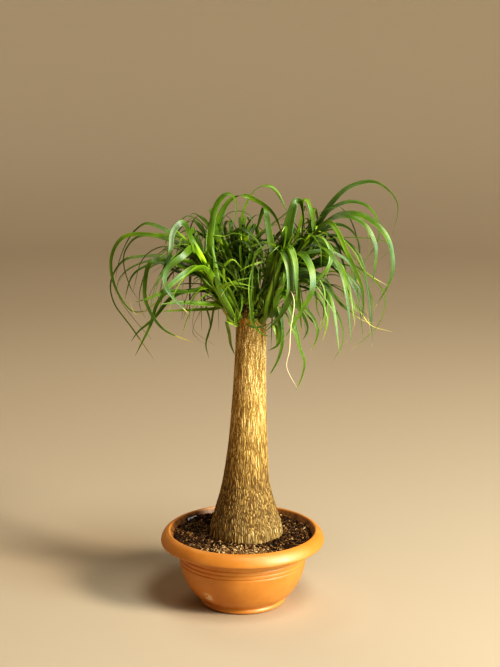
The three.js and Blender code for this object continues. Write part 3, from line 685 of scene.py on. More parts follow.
# Leaves that grow by a rule. Each pair is a least value and the range above it.
#   share: the place on the stem, arch: how far it reaches, rises and drops, and width, all three in mm
#   stray: how far its heading strays in degrees, both ways with centre 0.5, and one way with 0
#   swerve: how far in degrees it bends aside, and edgewise: how far it turns where it faces the front
#   stages: how far out and how high it is, and how much of the drop is done
#   tries: the turns that are tried until it is clear, and apart: the gap in mm
#   before_trunk: whether it may hang in front of the trunk
GROWN = {
    "share": (0.4, 0.6), "stray": 30, "centre": 0.5, "arch": [(70, 110), (15, 55), (70, 130)],
    "swerve": 70, "width": (7, 6), "edgewise": 75, "apart": LEAF_CLEARANCE, "before_trunk": True,
    "stages": ((0.22, 0.7, 0), (0.52, 1, 0), (0.82, 1, 0.3), (1, 1, 1)),
    "tries": (0, 12, -12, 24, -24, 36, -36, 48, -48),
}
# Wisps, the thin young leaves that arch every way from a head's heart and fill it out: the same
# figures, how many there are, and the turn in degrees from one to the next
WISP = {
    "share": (0.25, 0.75), "stray": 40, "centre": 0, "arch": [(40, 80), (10, 60), (15, 75)],
    "swerve": 170, "width": (2.2, 4.3), "edgewise": 0, "apart": 0, "before_trunk": False,
    "stages": ((0.16, 0.6, 0), (0.45, 1, 0), (0.78, 1, 0.35), (1, 1, 1)), "tries": (0, 15, -15, 30, -30),
}
WISPS = 22
WISP_TURN = 137.5
# Each head: its stem's radius and route, how many of its leaves grow by the rule, and the bearing and
# the spread in degrees that these take
HEADS = {
    "left": {
        "radius": 8.5, "grown": 11, "bearing": 178, "spread": 190,
        "route": [[-8, -8, 573], [-24, -19, 605], [-45, -29, 644], [-66, -36, 680], [-80, -38, 708]],
    },
    "back_left": {
        "radius": 8, "grown": 10, "bearing": 125, "spread": 190,
        "route": [[2, 18, 577], [-12, 34, 615], [-26, 43, 655], [-38, 47, 695], [-46, 48, 722]],
    },
    "back": {
        "radius": 8, "grown": 10, "bearing": 75, "spread": 170,
        "route": [[20, 19, 577], [18, 40, 615], [12, 53, 655], [6, 60, 690], [2, 63, 712]],
    },
    "right_front": {
        "radius": 8.5, "grown": 9, "bearing": 345, "spread": 140,
        "route": [[34, -15, 575], [46, -28, 610], [58, -39, 648], [70, -46, 684], [78, -48, 712]],
    },
    "right_back": {
        "radius": 9, "grown": 11, "bearing": 35, "spread": 190,
        "route": [[38, 8, 575], [56, 14, 615], [80, 19, 655], [104, 20, 692], [125, 18, 726]],
    },
    "sprout": {
        "radius": 4, "grown": 0, "bearing": 0, "spread": 0,
        "route": [[22, -25, 580], [24, -35, 602], [26, -42, 622]],
    },
}
# The leaves with a solid of their own. Each is its place on the stem from 0 to 1, its width in mm, its
# turn in degrees, its route, and what sets its looks apart, if anything does:
#   tone: how light its green is, from 0 to 1, on some leaves set as painted light and shade, and lightness:
#       what is added to that
#   blanch and heart: how many mm the pale base reaches, and how pale it is
#   pale: how pale all of it is, and dried: the share from its tip that is dry
#   roll: how far it rolls over, instead of ROLL, and width: how wide it is drawn, instead of its solid
LEAVES = {
    "left": [
        [0.95, 17, -60, [[-96, -55, 748], [-110, -75, 785], [-130, -90, 770], [-137, -105, 725],
          [-165, -110, 665]], {"blanch": 50, "heart": 0.9}],
        [0.9, 17, -60, [[-92, -90, 738], [-110, -120, 730], [-140, -132, 705], [-140, -135, 670],
          [-100, -125, 620]], {"tone": 0.44, "roll": 15, "blanch": 50, "heart": 0.9}],
        [0.8, 15, -50, [[-90, -85, 700], [-115, -110, 690], [-155, -130, 660], [-200, -140, 645]],
          {"tone": 0.6, "blanch": 40, "heart": 1.0}],
        # The far leaves on the left get light tones: painted light where the lamps leave them in shade
        [0.95, 12, -45, [[-125, -5, 735], [-180, 5, 750], [-230, 10, 745], [-255, 15, 705],
          [-250, 10, 650], [-220, 10, 600], [-185, 0, 600]], {"tone": 0.6, "roll": 70, "width": 9}],
        [0.9, 10, -15, [[-115, 25, 735], [-180, 45, 765], [-210, 50, 752], [-230, 52, 723],
          [-245, 54, 685], [-252, 54, 652]], {"tone": 0.58, "roll": 70}],
        [0.88, 8, -15, [[-120, 8, 742], [-195, 25, 745], [-225, 30, 722], [-233, 32, 690],
          [-222, 32, 645], [-205, 30, 615]], {"tone": 0.6, "roll": 70}],
        [0.85, 11, 0, [[-140, 35, 700], [-190, 50, 700], [-235, 55, 690], [-260, 55, 650],
          [-255, 55, 605], [-220, 50, 555], [-175, 40, 490]], {"tone": 0.72, "roll": 85, "dried": 0.1}],
        [0.8, 9, 0, [[-150, 70, 685], [-200, 90, 680], [-245, 100, 650], [-250, 100, 610],
          [-215, 90, 560], [-180, 85, 520]], {"tone": 0.68, "roll": 85}],
        [0.75, 8, -20, [[-145, -35, 705], [-180, -50, 700], [-210, -55, 680], [-225, -60, 635]]],
        [0.7, 11, -20, [[-135, -75, 710], [-170, -95, 715], [-182, -100, 680], [-180, -100, 635],
          [-150, -95, 585], [-95, -80, 555]], {"tone": 0.5, "roll": 60, "dried": 0.08}],
        [0.75, 12, 0, [[-140, 5, 695], [-180, 0, 685], [-197, -5, 650], [-200, -5, 610],
          [-185, -5, 580]]],
        [0.6, 10, -25, [[-100, -60, 650], [-140, -85, 655], [-162, -90, 630], [-175, -90, 590],
          [-205, -90, 530]]],
        [0.5, 12, -20, [[-95, -25, 645], [-135, -38, 635], [-170, -45, 595], [-200, -50, 570],
          [-215, -50, 550]]],
        [0.35, 13, -30, [[-70, -40, 622], [-118, -65, 630], [-160, -85, 630]]],
        [0.3, 6, -50, [[-60, -10, 606], [-130, -5, 602], [-165, -10, 600]], {"tone": 0.8}],
        [0.4, 7, 0, [[-72, 10, 620], [-95, 45, 590], [-95, 50, 550], [-55, 45, 520]]],
        [0.3, 8, 20, [[-52, -34, 615], [-60, -42, 580], [-70, -45, 545], [-65, -40, 515]]],
        [0.4, 16, 55, [[-52, -46, 675], [-60, -44, 745], [-50, -38, 810], [-27, -32, 836],
          [-10, -36, 815], [-22, -46, 770], [-52, -50, 730]], {"tone": 0.5, "roll": 20}],
        # This leaf's high tone is painted light, where it lies in the right head's shadow
        [0.5, 10, 60, [[-43, -44, 646], [-33, -58, 661], [-17, -68, 668], [2, -74, 668], [25, -78, 661]],
          {"tone": 0.95, "pale": 0.15, "width": 12}],
        [0.85, 9, 0, [[-110, 40, 680], [-155, 70, 660], [-182, 80, 625], [-195, 80, 580]]],
    ],
    "back_left": [
        [0.95, 13, 30, [[-50, 25, 760], [-30, 18, 808], [0, 15, 825], [40, 5, 810], [65, -5, 785],
          [80, -10, 740]]],
        [0.95, 7, 20, [[-44, 50, 760], [-28, 50, 785], [-5, 50, 790], [15, 50, 780], [25, 50, 750]]],
        [0.8, 7, 20, [[-68, 22, 725], [-75, 20, 760], [-88, 20, 780], [-105, 25, 775], [-120, 30, 750]]],
        [0.7, 9, 0, [[-100, 75, 720], [-140, 100, 710], [-175, 110, 690], [-195, 110, 655],
          [-190, 110, 610]]],
        [0.9, 12, 0, [[-75, 90, 740], [-100, 120, 760], [-130, 140, 735], [-150, 150, 680],
          [-155, 150, 625]]],
        [0.9, 12, 0, [[-45, 95, 755], [-35, 125, 790], [-40, 155, 775], [-55, 170, 725],
          [-65, 175, 665]]],
    ],
    "back": [
        [0.95, 14, 30, [[-6, 70, 745], [2, 66, 790], [20, 60, 825], [45, 55, 840], [68, 50, 828],
          [90, 40, 785]]],
        [0.8, 12, 60, [[-20, 38, 734], [-12, 34, 753], [1, 30, 757], [21, 24, 745], [39, 18, 722],
          [50, 14, 691]]],
        [0.7, 10, 60, [[-26, 34, 715], [-18, 26, 730], [-2, 16, 736], [15, 8, 725], [27, 4, 704]]],
        [0.95, 11, 0, [[-20, 95, 730], [-25, 112, 760], [-35, 130, 750], [-50, 145, 705],
          [-50, 150, 650]]],
        [0.9, 12, 0, [[5, 95, 725], [18, 120, 750], [30, 145, 735], [40, 160, 680], [45, 165, 620]]],
        [0.85, 11, 0, [[22, 78, 720], [42, 92, 740], [65, 105, 730], [88, 115, 695], [95, 120, 640]]],
    ],
    "right_front": [
        [0.9, 18, 6, [[71, -68, 712], [78, -84, 732], [89, -100, 705], [90, -106, 660], [75, -100, 615],
          [42, -85, 575]], {"tone": 0.5, "roll": 8, "width": 24}],
        [0.9, 12, 20, [[84, -74, 726], [91, -90, 740], [100, -105, 715], [102, -112, 680],
          [104, -112, 635]], {"roll": 0, "width": 15}],
        [0.9, 29, 105, [[82, -50, 743], [88, -46, 771], [95, -42, 801], [103, -36, 822], [113, -24, 816],
          [117, -16, 790]], {"tone": 0.42, "roll": 0}],
        [0.85, 16, 0, [[57, -28, 728], [50, -20, 768], [45, 0, 800], [38, 20, 785], [25, 40, 740]],
          {"tone": 0.55, "roll": 0}],
        [0.8, 20, 12, [[98, -68, 722], [115, -92, 726], [130, -110, 702], [131, -120, 665],
          [112, -115, 625], [78, -105, 565]], {"tone": 0.5, "roll": 12}],
        [0.45, 2, -20, [[80, -90, 668], [98, -115, 645], [92, -120, 590], [90, -120, 550],
          [85, -120, 515], [105, -120, 475]], {"dried": 1.0, "roll": 0, "lightness": 0.35}],
        [0.4, 9, 20, [[80, -55, 640], [100, -70, 590], [110, -72, 545], [120, -72, 515], [115, -72, 485],
          [105, -70, 460]]],
        [0.3, 11, 30, [[62, -44, 614], [72, -58, 578], [70, -60, 548], [50, -52, 532]]],
        [0.35, 9, 20, [[72, -42, 606], [78, -46, 555], [70, -46, 515], [50, -42, 475]]],
        [0.55, 10, 30, [[105, -52, 630], [135, -60, 600], [145, -65, 570], [135, -60, 535]]],
        [0.6, 8, 0, [[105, -50, 660], [140, -58, 648], [157, -60, 625], [157, -60, 590],
          [140, -60, 560]]],
        [0.5, 10, 30, [[90, -76, 645], [115, -86, 612], [125, -90, 585], [115, -88, 560]]],
        [0.7, 11, 10, [[108, -45, 688], [140, -50, 675], [162, -55, 650], [165, -55, 600],
          [155, -55, 550]]],
    ],
    "right_back": [
        [1.0, 12, 15, [[150, 32, 770], [178, 50, 808], [210, 62, 835], [255, 70, 845], [290, 78, 825],
          [308, 80, 790], [295, 80, 725]], {"tone": 0.45, "width": 16}],
        [1.0, 10, 20, [[148, 24, 765], [172, 32, 795], [210, 36, 810], [245, 40, 800], [265, 40, 770],
          [265, 40, 730], [235, 36, 685]], {"tone": 0.42, "width": 13}],
        [0.95, 15, 5, [[150, 8, 758], [180, 3, 785], [215, -3, 792], [245, -8, 782], [275, -10, 755],
          [290, -10, 715], [288, -10, 665], [260, -10, 610]], {"tone": 0.45, "roll": 70, "width": 21}],
        [0.9, 14, 5, [[150, -8, 765], [175, -22, 785], [205, -30, 790], [235, -36, 775], [255, -40, 738],
          [255, -40, 700], [250, -36, 655]], {"tone": 0.42, "roll": 70, "width": 17}],
        [0.9, 12, 25, [[150, 45, 745], [178, 62, 760], [205, 75, 755], [225, 85, 735], [235, 86, 705],
          [225, 85, 680]], {"tone": 0.3}],
        [0.85, 12, 45, [[146, -30, 765], [164, -45, 782], [180, -60, 768], [198, -68, 730],
          [215, -72, 695], [230, -75, 655], [230, -72, 605]]],
        [0.8, 10, 10, [[165, 2, 748], [205, -8, 735], [230, -10, 705], [242, -10, 655], [250, -10, 595],
          [255, -10, 530]]],
        [0.75, 9, 0, [[170, 28, 715], [225, 25, 682], [262, 22, 655], [280, 20, 620], [268, 20, 568],
          [215, 20, 515]]],
        [0.7, 13, 20, [[160, 36, 725], [190, 45, 705], [202, 50, 665], [200, 50, 615]]],
        [0.65, 9, 30, [[150, -32, 706], [190, -46, 690], [215, -50, 655], [235, -50, 595]]],
        [0.75, 12, 0, [[170, 50, 715], [215, 65, 700], [245, 72, 655], [258, 75, 600], [260, 75, 540]]],
        [0.7, 9, 0, [[170, 65, 690], [200, 82, 655], [222, 90, 600], [265, 90, 560]]],
        [0.5, 11, 0, [[130, -10, 672], [170, -15, 648], [192, -20, 615], [225, -20, 595]]],
        [0.4, 9, 20, [[130, 34, 655], [168, 45, 615], [195, 50, 570], [200, 50, 525], [180, 46, 485]]],
        [0.85, 15, 20, [[140, -36, 745], [165, -60, 738], [167, -75, 710], [147, -80, 680],
          [120, -80, 645]], {"tone": 0.5, "roll": 20}],
        [0.95, 17, -40, [[144, 8, 737], [139, 4, 769], [133, 0, 799], [126, -3, 817], [117, -7, 818],
          [116, -9, 804], [119, -9, 777], [121, -8, 750]], {"tone": 0.72, "roll": 0}],
        [0.9, 12, 0, [[150, 70, 765], [180, 105, 792], [212, 135, 770], [235, 150, 710],
          [240, 155, 650]]],
        [0.8, 12, 0, [[135, 75, 750], [142, 115, 785], [150, 145, 768], [160, 168, 710],
          [165, 170, 640]]],
    ],
    "sprout": [
        [0.9, 5, 0, [[19, -46, 655], [18, -51, 690], [24, -56, 718], [42, -62, 736]]],
        [0.8, 5, 0, [[8, -46, 636], [-4, -54, 630], [-8, -58, 612]]],
        [0.8, 5, 0, [[38, -46, 638], [48, -52, 638], [56, -58, 622]]],
        [0.9, 4, 0, [[16, -44, 640], [8, -50, 656], [-4, -58, 660]]],
        [0.9, 4, 0, [[34, -40, 646], [44, -42, 658], [52, -44, 652]]],
        [0.6, 5, 0, [[18, -50, 616], [18, -60, 594], [36, -64, 570], [60, -62, 562]]],
        [0.9, 4, 0, [[26, -36, 650], [30, -26, 676], [40, -20, 690]]],
        [0.7, 4, 0, [[34, -50, 628], [40, -60, 634], [40, -68, 622]]],
    ],
}
# Fine leaves with no solid of their own, which fill the heads out: the same figures, head by head
THIN_LEAVES = {
    "left": [
        [0.85, 4, 0, [[-125, 0, 697], [-151, 20, 702], [-181, 30, 696], [-221, 38, 679], [-246, 40, 646],
          [-252, 40, 624]]],
        [0.8, 4, 0, [[-142, 30, 696], [-173, 50, 686], [-211, 60, 665], [-232, 62, 630],
          [-236, 62, 616]]],
        [0.7, 9, 0, [[-127, 40, 670], [-153, 60, 681], [-184, 75, 684], [-197, 82, 650], [-208, 85, 605],
          [-194, 85, 566]]],
        [0.7, 6, 0, [[-114, 60, 660], [-145, 85, 678], [-182, 95, 658], [-192, 98, 639]]],
        [0.35, 6, 0, [[-71, -50, 652], [-90, -62, 644], [-104, -68, 616]]],
        [0.35, 5, 0, [[-75, 10, 636], [-91, 25, 627], [-99, 30, 608], [-96, 32, 585]]],
        [0.25, 6, 20, [[-72, 30, 624], [-72, 40, 604], [-64, 45, 568], [-67, 48, 541], [-73, 48, 521],
          [-67, 46, 492]]],
        [0.2, 5, 0, [[-68, 35, 607], [-84, 48, 588], [-99, 52, 550], [-91, 52, 534], [-79, 50, 524],
          [-65, 48, 521]]],
        [0.8, 4, 0, [[-93, 30, 704], [-114, 60, 711], [-144, 70, 711], [-180, 78, 694]]],
        [0.6, 3, 0, [[-121, -20, 656], [-159, -30, 628], [-200, -30, 600], [-212, -30, 608],
          [-218, -30, 630]], {"dried": 0.45}],
        [0.5, 5, 20, [[-58, -40, 747], [-33, -50, 756], [-13, -55, 763], [15, -58, 754], [38, -60, 737]]],
        [0.45, 7, 60, [[-35, -50, 691], [-27, -58, 707], [-15, -60, 712], [2, -62, 693], [9, -63, 681]],
          {"tone": 0.9, "pale": 0.35}],
        [0.45, 4, 20, [[-52, -50, 694], [-27, -66, 678], [-8, -70, 655], [6, -70, 642]]],
    ],
    "back_left": [
        [0.4, 8, 60, [[-16, 30, 636], [-18, 20, 668], [-14, 15, 695], [-4, 12, 683], [3, 10, 656]],
          {"tone": 0.85, "pale": 0.25}],
    ],
    "back": [
        [0.9, 6, 0, [[25, 70, 729], [84, 50, 782], [122, 30, 814], [134, 25, 805], [126, 20, 773],
          [122, 20, 755]]],
        [0.6, 9, 60, [[-8, 30, 692], [1, 22, 709], [19, 12, 715], [37, 6, 704], [46, 4, 685]]],
    ],
    "right_front": [
        [0.7, 3, -20, [[68, -60, 721], [49, -70, 738], [34, -75, 737], [23, -80, 719], [19, -85, 668],
          [17, -85, 622], [27, -82, 594], [57, -78, 571]], {"tone": 0.5}],
        [0.4, 4, 0, [[111, -60, 673], [137, -70, 667], [160, -74, 637], [187, -76, 594]]],
        [0.45, 5, 0, [[107, -64, 681], [137, -78, 684], [156, -82, 658], [158, -84, 619], [164, -84, 594],
          [155, -84, 559]]],
        [0.4, 6, 0, [[103, -50, 671], [122, -56, 670], [136, -58, 647], [155, -60, 620], [155, -60, 599],
          [146, -60, 579]]],
        [0.25, 5, 0, [[84, -45, 631], [103, -54, 629], [119, -58, 608], [142, -60, 585], [146, -60, 569],
          [133, -60, 534]]],
        [0.2, 4, 0, [[81, -46, 619], [98, -56, 621], [115, -60, 607], [127, -62, 579], [127, -62, 568],
          [121, -62, 560]]],
        [0.2, 4, 0, [[81, -40, 606], [92, -46, 584], [106, -50, 553], [120, -50, 513], [116, -50, 477],
          [103, -50, 451]]],
        [0.8, 12, 45, [[122, -56, 680], [145, -60, 671], [164, -62, 658], [184, -64, 633],
          [209, -64, 611]], {"tone": 0.34}],
        [0.6, 10, 40, [[120, -50, 687], [141, -54, 678], [155, -56, 659], [161, -56, 633],
          [159, -56, 606]], {"tone": 0.3}],
        [0.5, 7, 40, [[111, -60, 669], [132, -64, 662], [141, -66, 641], [143, -66, 618],
          [151, -66, 598]], {"tone": 0.7}],
        [0.8, 6, 20, [[125, -70, 752], [151, -88, 759], [166, -94, 733], [164, -96, 703],
          [144, -94, 660]]],
    ],
    "right_back": [
        [0.95, 12, 20, [[143, 10, 755], [161, 5, 753], [178, 2, 740], [188, 0, 721], [196, -2, 698],
          [202, -2, 678]], {"tone": 0.32}],
        [0.75, 10, 30, [[150, -20, 701], [185, -22, 689], [208, -24, 674], [226, -26, 653],
          [234, -26, 627], [233, -26, 597]], {"tone": 0.32}],
        [0.6, 11, 40, [[154, -24, 701], [175, -30, 699], [194, -34, 676], [206, -36, 645],
          [224, -36, 607]], {"tone": 0.75}],
        [0.6, 10, 40, [[155, -10, 707], [182, -14, 700], [197, -16, 684], [197, -16, 659],
          [192, -16, 629]], {"tone": 0.6}],
        [0.55, 10, 60, [[110, -6, 714], [123, -10, 734], [137, -12, 748], [154, -12, 754]],
          {"pale": 0.95}],
        [0.7, 9, 60, [[124, -4, 741], [135, -6, 753], [146, -8, 759], [162, -8, 754]], {"pale": 0.9}],
        [0.7, 10, 60, [[106, 10, 743], [112, 12, 768], [118, 14, 791], [122, 16, 805], [126, 22, 792]],
          {"tone": 0.8, "pale": 0.4}],
        [1.0, 4, 0, [[128, 10, 762], [141, 5, 785], [160, 0, 799], [173, -2, 804], [190, -4, 803]]],
        [0.9, 4, 0, [[151, 20, 767], [200, 24, 792], [231, 26, 780], [248, 26, 740], [247, 26, 713],
          [237, 26, 683]]],
        [0.7, 4, 0, [[147, 0, 731], [179, -14, 747], [198, -18, 741], [220, -22, 715], [239, -26, 682],
          [282, -28, 655]], {"dried": 0.1}],
        [0.8, 4, 0, [[172, 40, 734], [242, 50, 736], [283, 52, 728], [290, 52, 712], [268, 52, 692],
          [241, 52, 676]]],
        [0.5, 7, 0, [[148, 20, 682], [201, 14, 689], [234, 8, 670], [252, 4, 629], [258, 4, 607],
          [253, 4, 561]]],
        [0.45, 6, 0, [[148, 10, 670], [181, 4, 677], [210, 0, 662], [232, -3, 626], [236, -4, 613]]],
        [0.4, 4, 0, [[145, 30, 660], [183, 34, 665], [203, 36, 649], [197, 36, 619]]],
        [0.5, 6, 20, [[147, -14, 692], [185, -26, 690], [204, -30, 652], [215, -32, 615],
          [234, -33, 597]]],
        [0.3, 3, 0, [[136, 0, 652], [181, -8, 633], [218, -12, 596], [240, -12, 582], [259, -12, 578]],
          {"dried": 0.12}],
        [0.6, 4, 0, [[143, -16, 724], [167, -26, 735], [184, -30, 712], [179, -30, 697]]],
        [0.5, 4, 0, [[153, 50, 688], [204, 60, 675], [239, 64, 619], [254, 64, 558], [260, 64, 523],
          [256, 64, 511]], {"dried": 0.2}],
        [0.3, 4, 0, [[129, 30, 636], [183, 44, 643], [218, 50, 612], [224, 50, 567], [215, 50, 541],
          [205, 50, 520]], {"dried": 0.35}],
        [0.35, 2.5, 0, [[136, -8, 659], [190, -20, 646], [229, -24, 603], [252, -26, 576],
          [292, -26, 564]], {"dried": 0.2}],
    ],
    "sprout": [
        [0.7, 4, 0, [[15, -50, 648], [15, -55, 658], [-14, -60, 667], [-27, -62, 666], [-40, -64, 648]]],
    ],
}
# Broad or torn sheaths and short strips by the trunk's rim: head, width, turn, route and looks
RIM_SCRAPS = [
    ["right_front", 17, -15, [[48, -36, 606], [59, -48, 644], [69, -56, 684], [80, -60, 718],
      [94, -58, 738], [108, -52, 744]], {"tone": 0.62, "pale": 0.22}],
    ["right_front", 18, -10, [[48, -44, 595], [53, -58, 634], [63, -68, 674], [74, -74, 714],
      [85, -74, 745]], {"tone": 0.7, "pale": 0.18}],
    ["right_front", 17, -10, [[58, -46, 596], [67, -60, 634], [78, -70, 671], [87, -76, 703],
      [95, -78, 726]], {"tone": 0.6, "pale": 0.12}],
    ["right_front", 4, -10, [[49, -74, 635], [55, -82, 658], [62, -88, 682], [72, -92, 706]],
      {"tone": 0.95, "pale": 0.75}],
    ["left", 4, 60, [[-4, -26, 584], [-18, -30, 580], [-28, -34, 591], [-31, -34, 601]], {"pale": 0.9}],
    ["left", 7, 60, [[-8, -34, 577], [-22, -38, 586], [-29, -36, 596], [-26, -32, 605]], {"pale": 0.8}],
    ["left", 4, 70, [[-31, -34, 589], [-22, -38, 584], [-8, -38, 576]], {"pale": 0.95}],
    ["left", 5, 50, [[-20, -30, 604], [-14, -36, 594], [-14, -40, 579]], {"tone": 0.9}],
    ["left", 8, 0, [[-32, -10, 580], [-26, 0, 552], [-23, 4, 531], [-15, 6, 510]], {"tone": 0.8}],
    ["left", 16, 60, [[-16, -30, 584], [-25, -42, 609], [-39, -50, 640], [-48, -54, 674], [-52, -52, 706],
      [-57, -48, 737]], {"tone": 0.68, "pale": 0.08}],
    ["sprout", 4, 60, [[7, -38, 584], [19, -42, 577], [36, -42, 577], [50, -38, 582]], {"tone": 0.45}],
    ["sprout", 2, 60, [[17, -36, 613], [13, -42, 603], [11, -44, 589], [9, -42, 575]],
      {"tone": 1.0, "pale": 0.3}],
    ["sprout", 3, 60, [[-12, -30, 592], [-12, -36, 609], [-4, -40, 622], [9, -42, 624], [21, -42, 617]],
      {"tone": 0.8}],
    ["right_front", 9, 60, [[58, -50, 587], [65, -56, 574], [69, -56, 554], [65, -54, 534]],
      {"tone": 0.95}],
    ["right_front", 11, 30, [[82, -58, 626], [73, -64, 605], [53, -66, 588], [38, -64, 570]],
      {"tone": 0.35}],
]
# What these share where their own looks don't say otherwise
SCRAP_LOOKS = {"roll": 0, "heart": 0, "clasp": 0, "dried": 0}
LEAF_TINTS = [
    (0.0, (0.008, 0.019, 0.0003, 1)), (0.3, (0.030, 0.062, 0.0008, 1)), (0.55, (0.076, 0.140, 0.0015, 1)),
    (0.8, (0.16, 0.27, 0.006, 1)), (1.0, (0.29, 0.44, 0.03, 1)),
]
LEAF_BASE = (0.44, 0.62, 0.02, 1)
LEAF_DRY = (0.70, 0.56, 0.31, 1)
LEAF_WITHERED = (0.47, 0.41, 0.07, 1)
LEAF_GRAIN = 0.00035


def seeded_chance(seed):
    """Random numbers from 0 to 1, the same on every run."""
    state = seed

    def draw():
        nonlocal state
        state = (state + 0x6D2B79F5) & 0xFFFFFFFF
        mixed = ((state ^ (state >> 15)) * (1 | state)) & 0xFFFFFFFF
        mixed = ((mixed + (mixed ^ (mixed >> 7)) * (61 | mixed)) & 0xFFFFFFFF) ^ mixed
        return (mixed ^ (mixed >> 14)) / 4294967296

    return draw


def unit(vectors):
    """Directions of length 1."""
    return vectors / np.linalg.norm(vectors, axis=-1, keepdims=True)


def along_route(route, shares):
    """Points on the smooth curve through a route, at shares of its parts from 0 to 1."""
    known = np.array(route, float)
    known = np.vstack([2 * known[0] - known[1], known, 2 * known[-1] - known[-2]])
    return curve_through(known, np.asarray(shares, float) * (len(route) - 1))


def even_points(route, count):
    """Points evenly spaced by length along the curve through a route, and its length."""
    return spaced_evenly(along_route(route, np.linspace(0, 1, 301)), count)


def stem_point(head, share):
    """The place on a head's stem, at a share of its route."""
    return along_route(head["route"], [share])[0].tolist()


def solid_width(width, along):
    """The width of a leaf's solid: broad at the foot, widest at a third, then a long taper."""
    return width * np.minimum(1, 0.6 + along) * (1 - along**2.8) + 1.6


def blade_width(width, along):
    """The same leaf's width as it is drawn: fuller at the foot, with a long fine tip."""
    return width * np.minimum(1, 0.7 + 1.2 * along) * (1 - along) ** 0.5 + 1.3


def leaf_probes(leaf):
    """Round places along a leaf, where its distance to leaves of other heads is measured."""
    shares = np.linspace(0, 1, PROBES + 1)
    return np.column_stack([along_route(leaf["route"], shares), solid_width(leaf["width"], shares) / 2])


def is_clear(probes, name, taken, apart):
    """Whether a leaf keeps clear of the other heads' leaves and of the trunk."""
    for other_name, other in taken:
        if other_name != name:
            between = np.linalg.norm(probes[:, None, :3] - other[None, :, :3], axis=2)
            if (between < probes[:, None, 3] + other[None, :, 3] + apart).any():
                return False
    aside = np.hypot(probes[:, 0] - trunk_axis(probes[:, 2]), probes[:, 1])
    return bool(((probes[:, 2] > TRUNK_TOP + 6) | (aside > TRUNK_CLEARANCE)).all())


def clasped(leaf, head, share):
    """The leaf with its base lengthened down the side of the stem that it clasps."""
    root, ahead = np.array(leaf["route"][0]), np.array(leaf["route"][1])
    stem = along_route(head["route"], [max(0, share - CLASP_SHARE), max(0, share - CLASP_SHARE / 2), share])
    stem_way = unit(stem[-1] - stem[0])
    out = ahead - root - stem_way * ((ahead - root) @ stem_way)
    out *= head["radius"] * (0.9 + FLARE * share) / max(np.linalg.norm(out), 1e-6)
    base = [(place + part * out).tolist() for place, part in zip(stem, (0.15, 0.75, 0.9))]
    return {**leaf, "route": base + leaf["route"][1:], "hugging": np.linalg.norm(stem[2] - stem[0])}


def place_leaf(name, head, row, taken):
    """A leaf read off the plant, moved nearer or farther until it is clear of the other heads."""
    share, width, turn, route, *looks = row
    for shift in MOVES:
        points = [[x, y + shift * min(1, (i + 1) / 2), z] for i, (x, y, z) in enumerate(route)]
        leaf = {"width": width, "turn": turn, "route": [stem_point(head, share), *points]}
        probes = leaf_probes(leaf)
        if is_clear(probes, name, taken, LEAF_CLEARANCE):
            taken.append((name, probes))
            return [{**clasped(leaf, head, share), **(looks[0] if looks else {})}]
    return []


def grow_leaf(name, head, aim, kind, draw, taken):
    """A leaf or wisp grown by the rule: it rises from the stem, arches over and hangs, and swerves."""
    share = kind["share"][0] + kind["share"][1] * draw()
    root = stem_point(head, share)
    heading = aim + kind["stray"] * (draw() - kind["centre"])
    reach, rise, drop = (least + more * draw() for least, more in kind["arch"])
    swerve = kind["swerve"] * (draw() - 0.5)
    width = kind["width"][0] + kind["width"][1] * draw()
    for turned in kind["tries"]:
        route = [root]
        for out, up, fallen in kind["stages"]:
            angle, aside = math.radians(heading + turned + swerve * out), reach * out
            height = root[2] + rise * (up - fallen * drop / rise)
            route.append([root[0] + aside * math.cos(angle), root[1] + aside * math.sin(angle), height])
        edgewise = kind["edgewise"] * max(0.0, -math.sin(math.radians(heading + turned)))
        leaf = {"width": width, "turn": edgewise, "route": route}
        probes = leaf_probes(leaf)
        before_trunk = (probes[:, 2] < FRONT_BELOW) & (probes[:, 1] < 0)
        before_trunk &= abs(probes[:, 0] - trunk_axis(TRUNK_TOP)) < FRONT_NEAR
        allowed = kind["before_trunk"] or not before_trunk.any()
        if allowed and is_clear(probes, name, taken, kind["apart"]):
            taken.append((name, probes))
            return [clasped(leaf, head, share)]
    return []


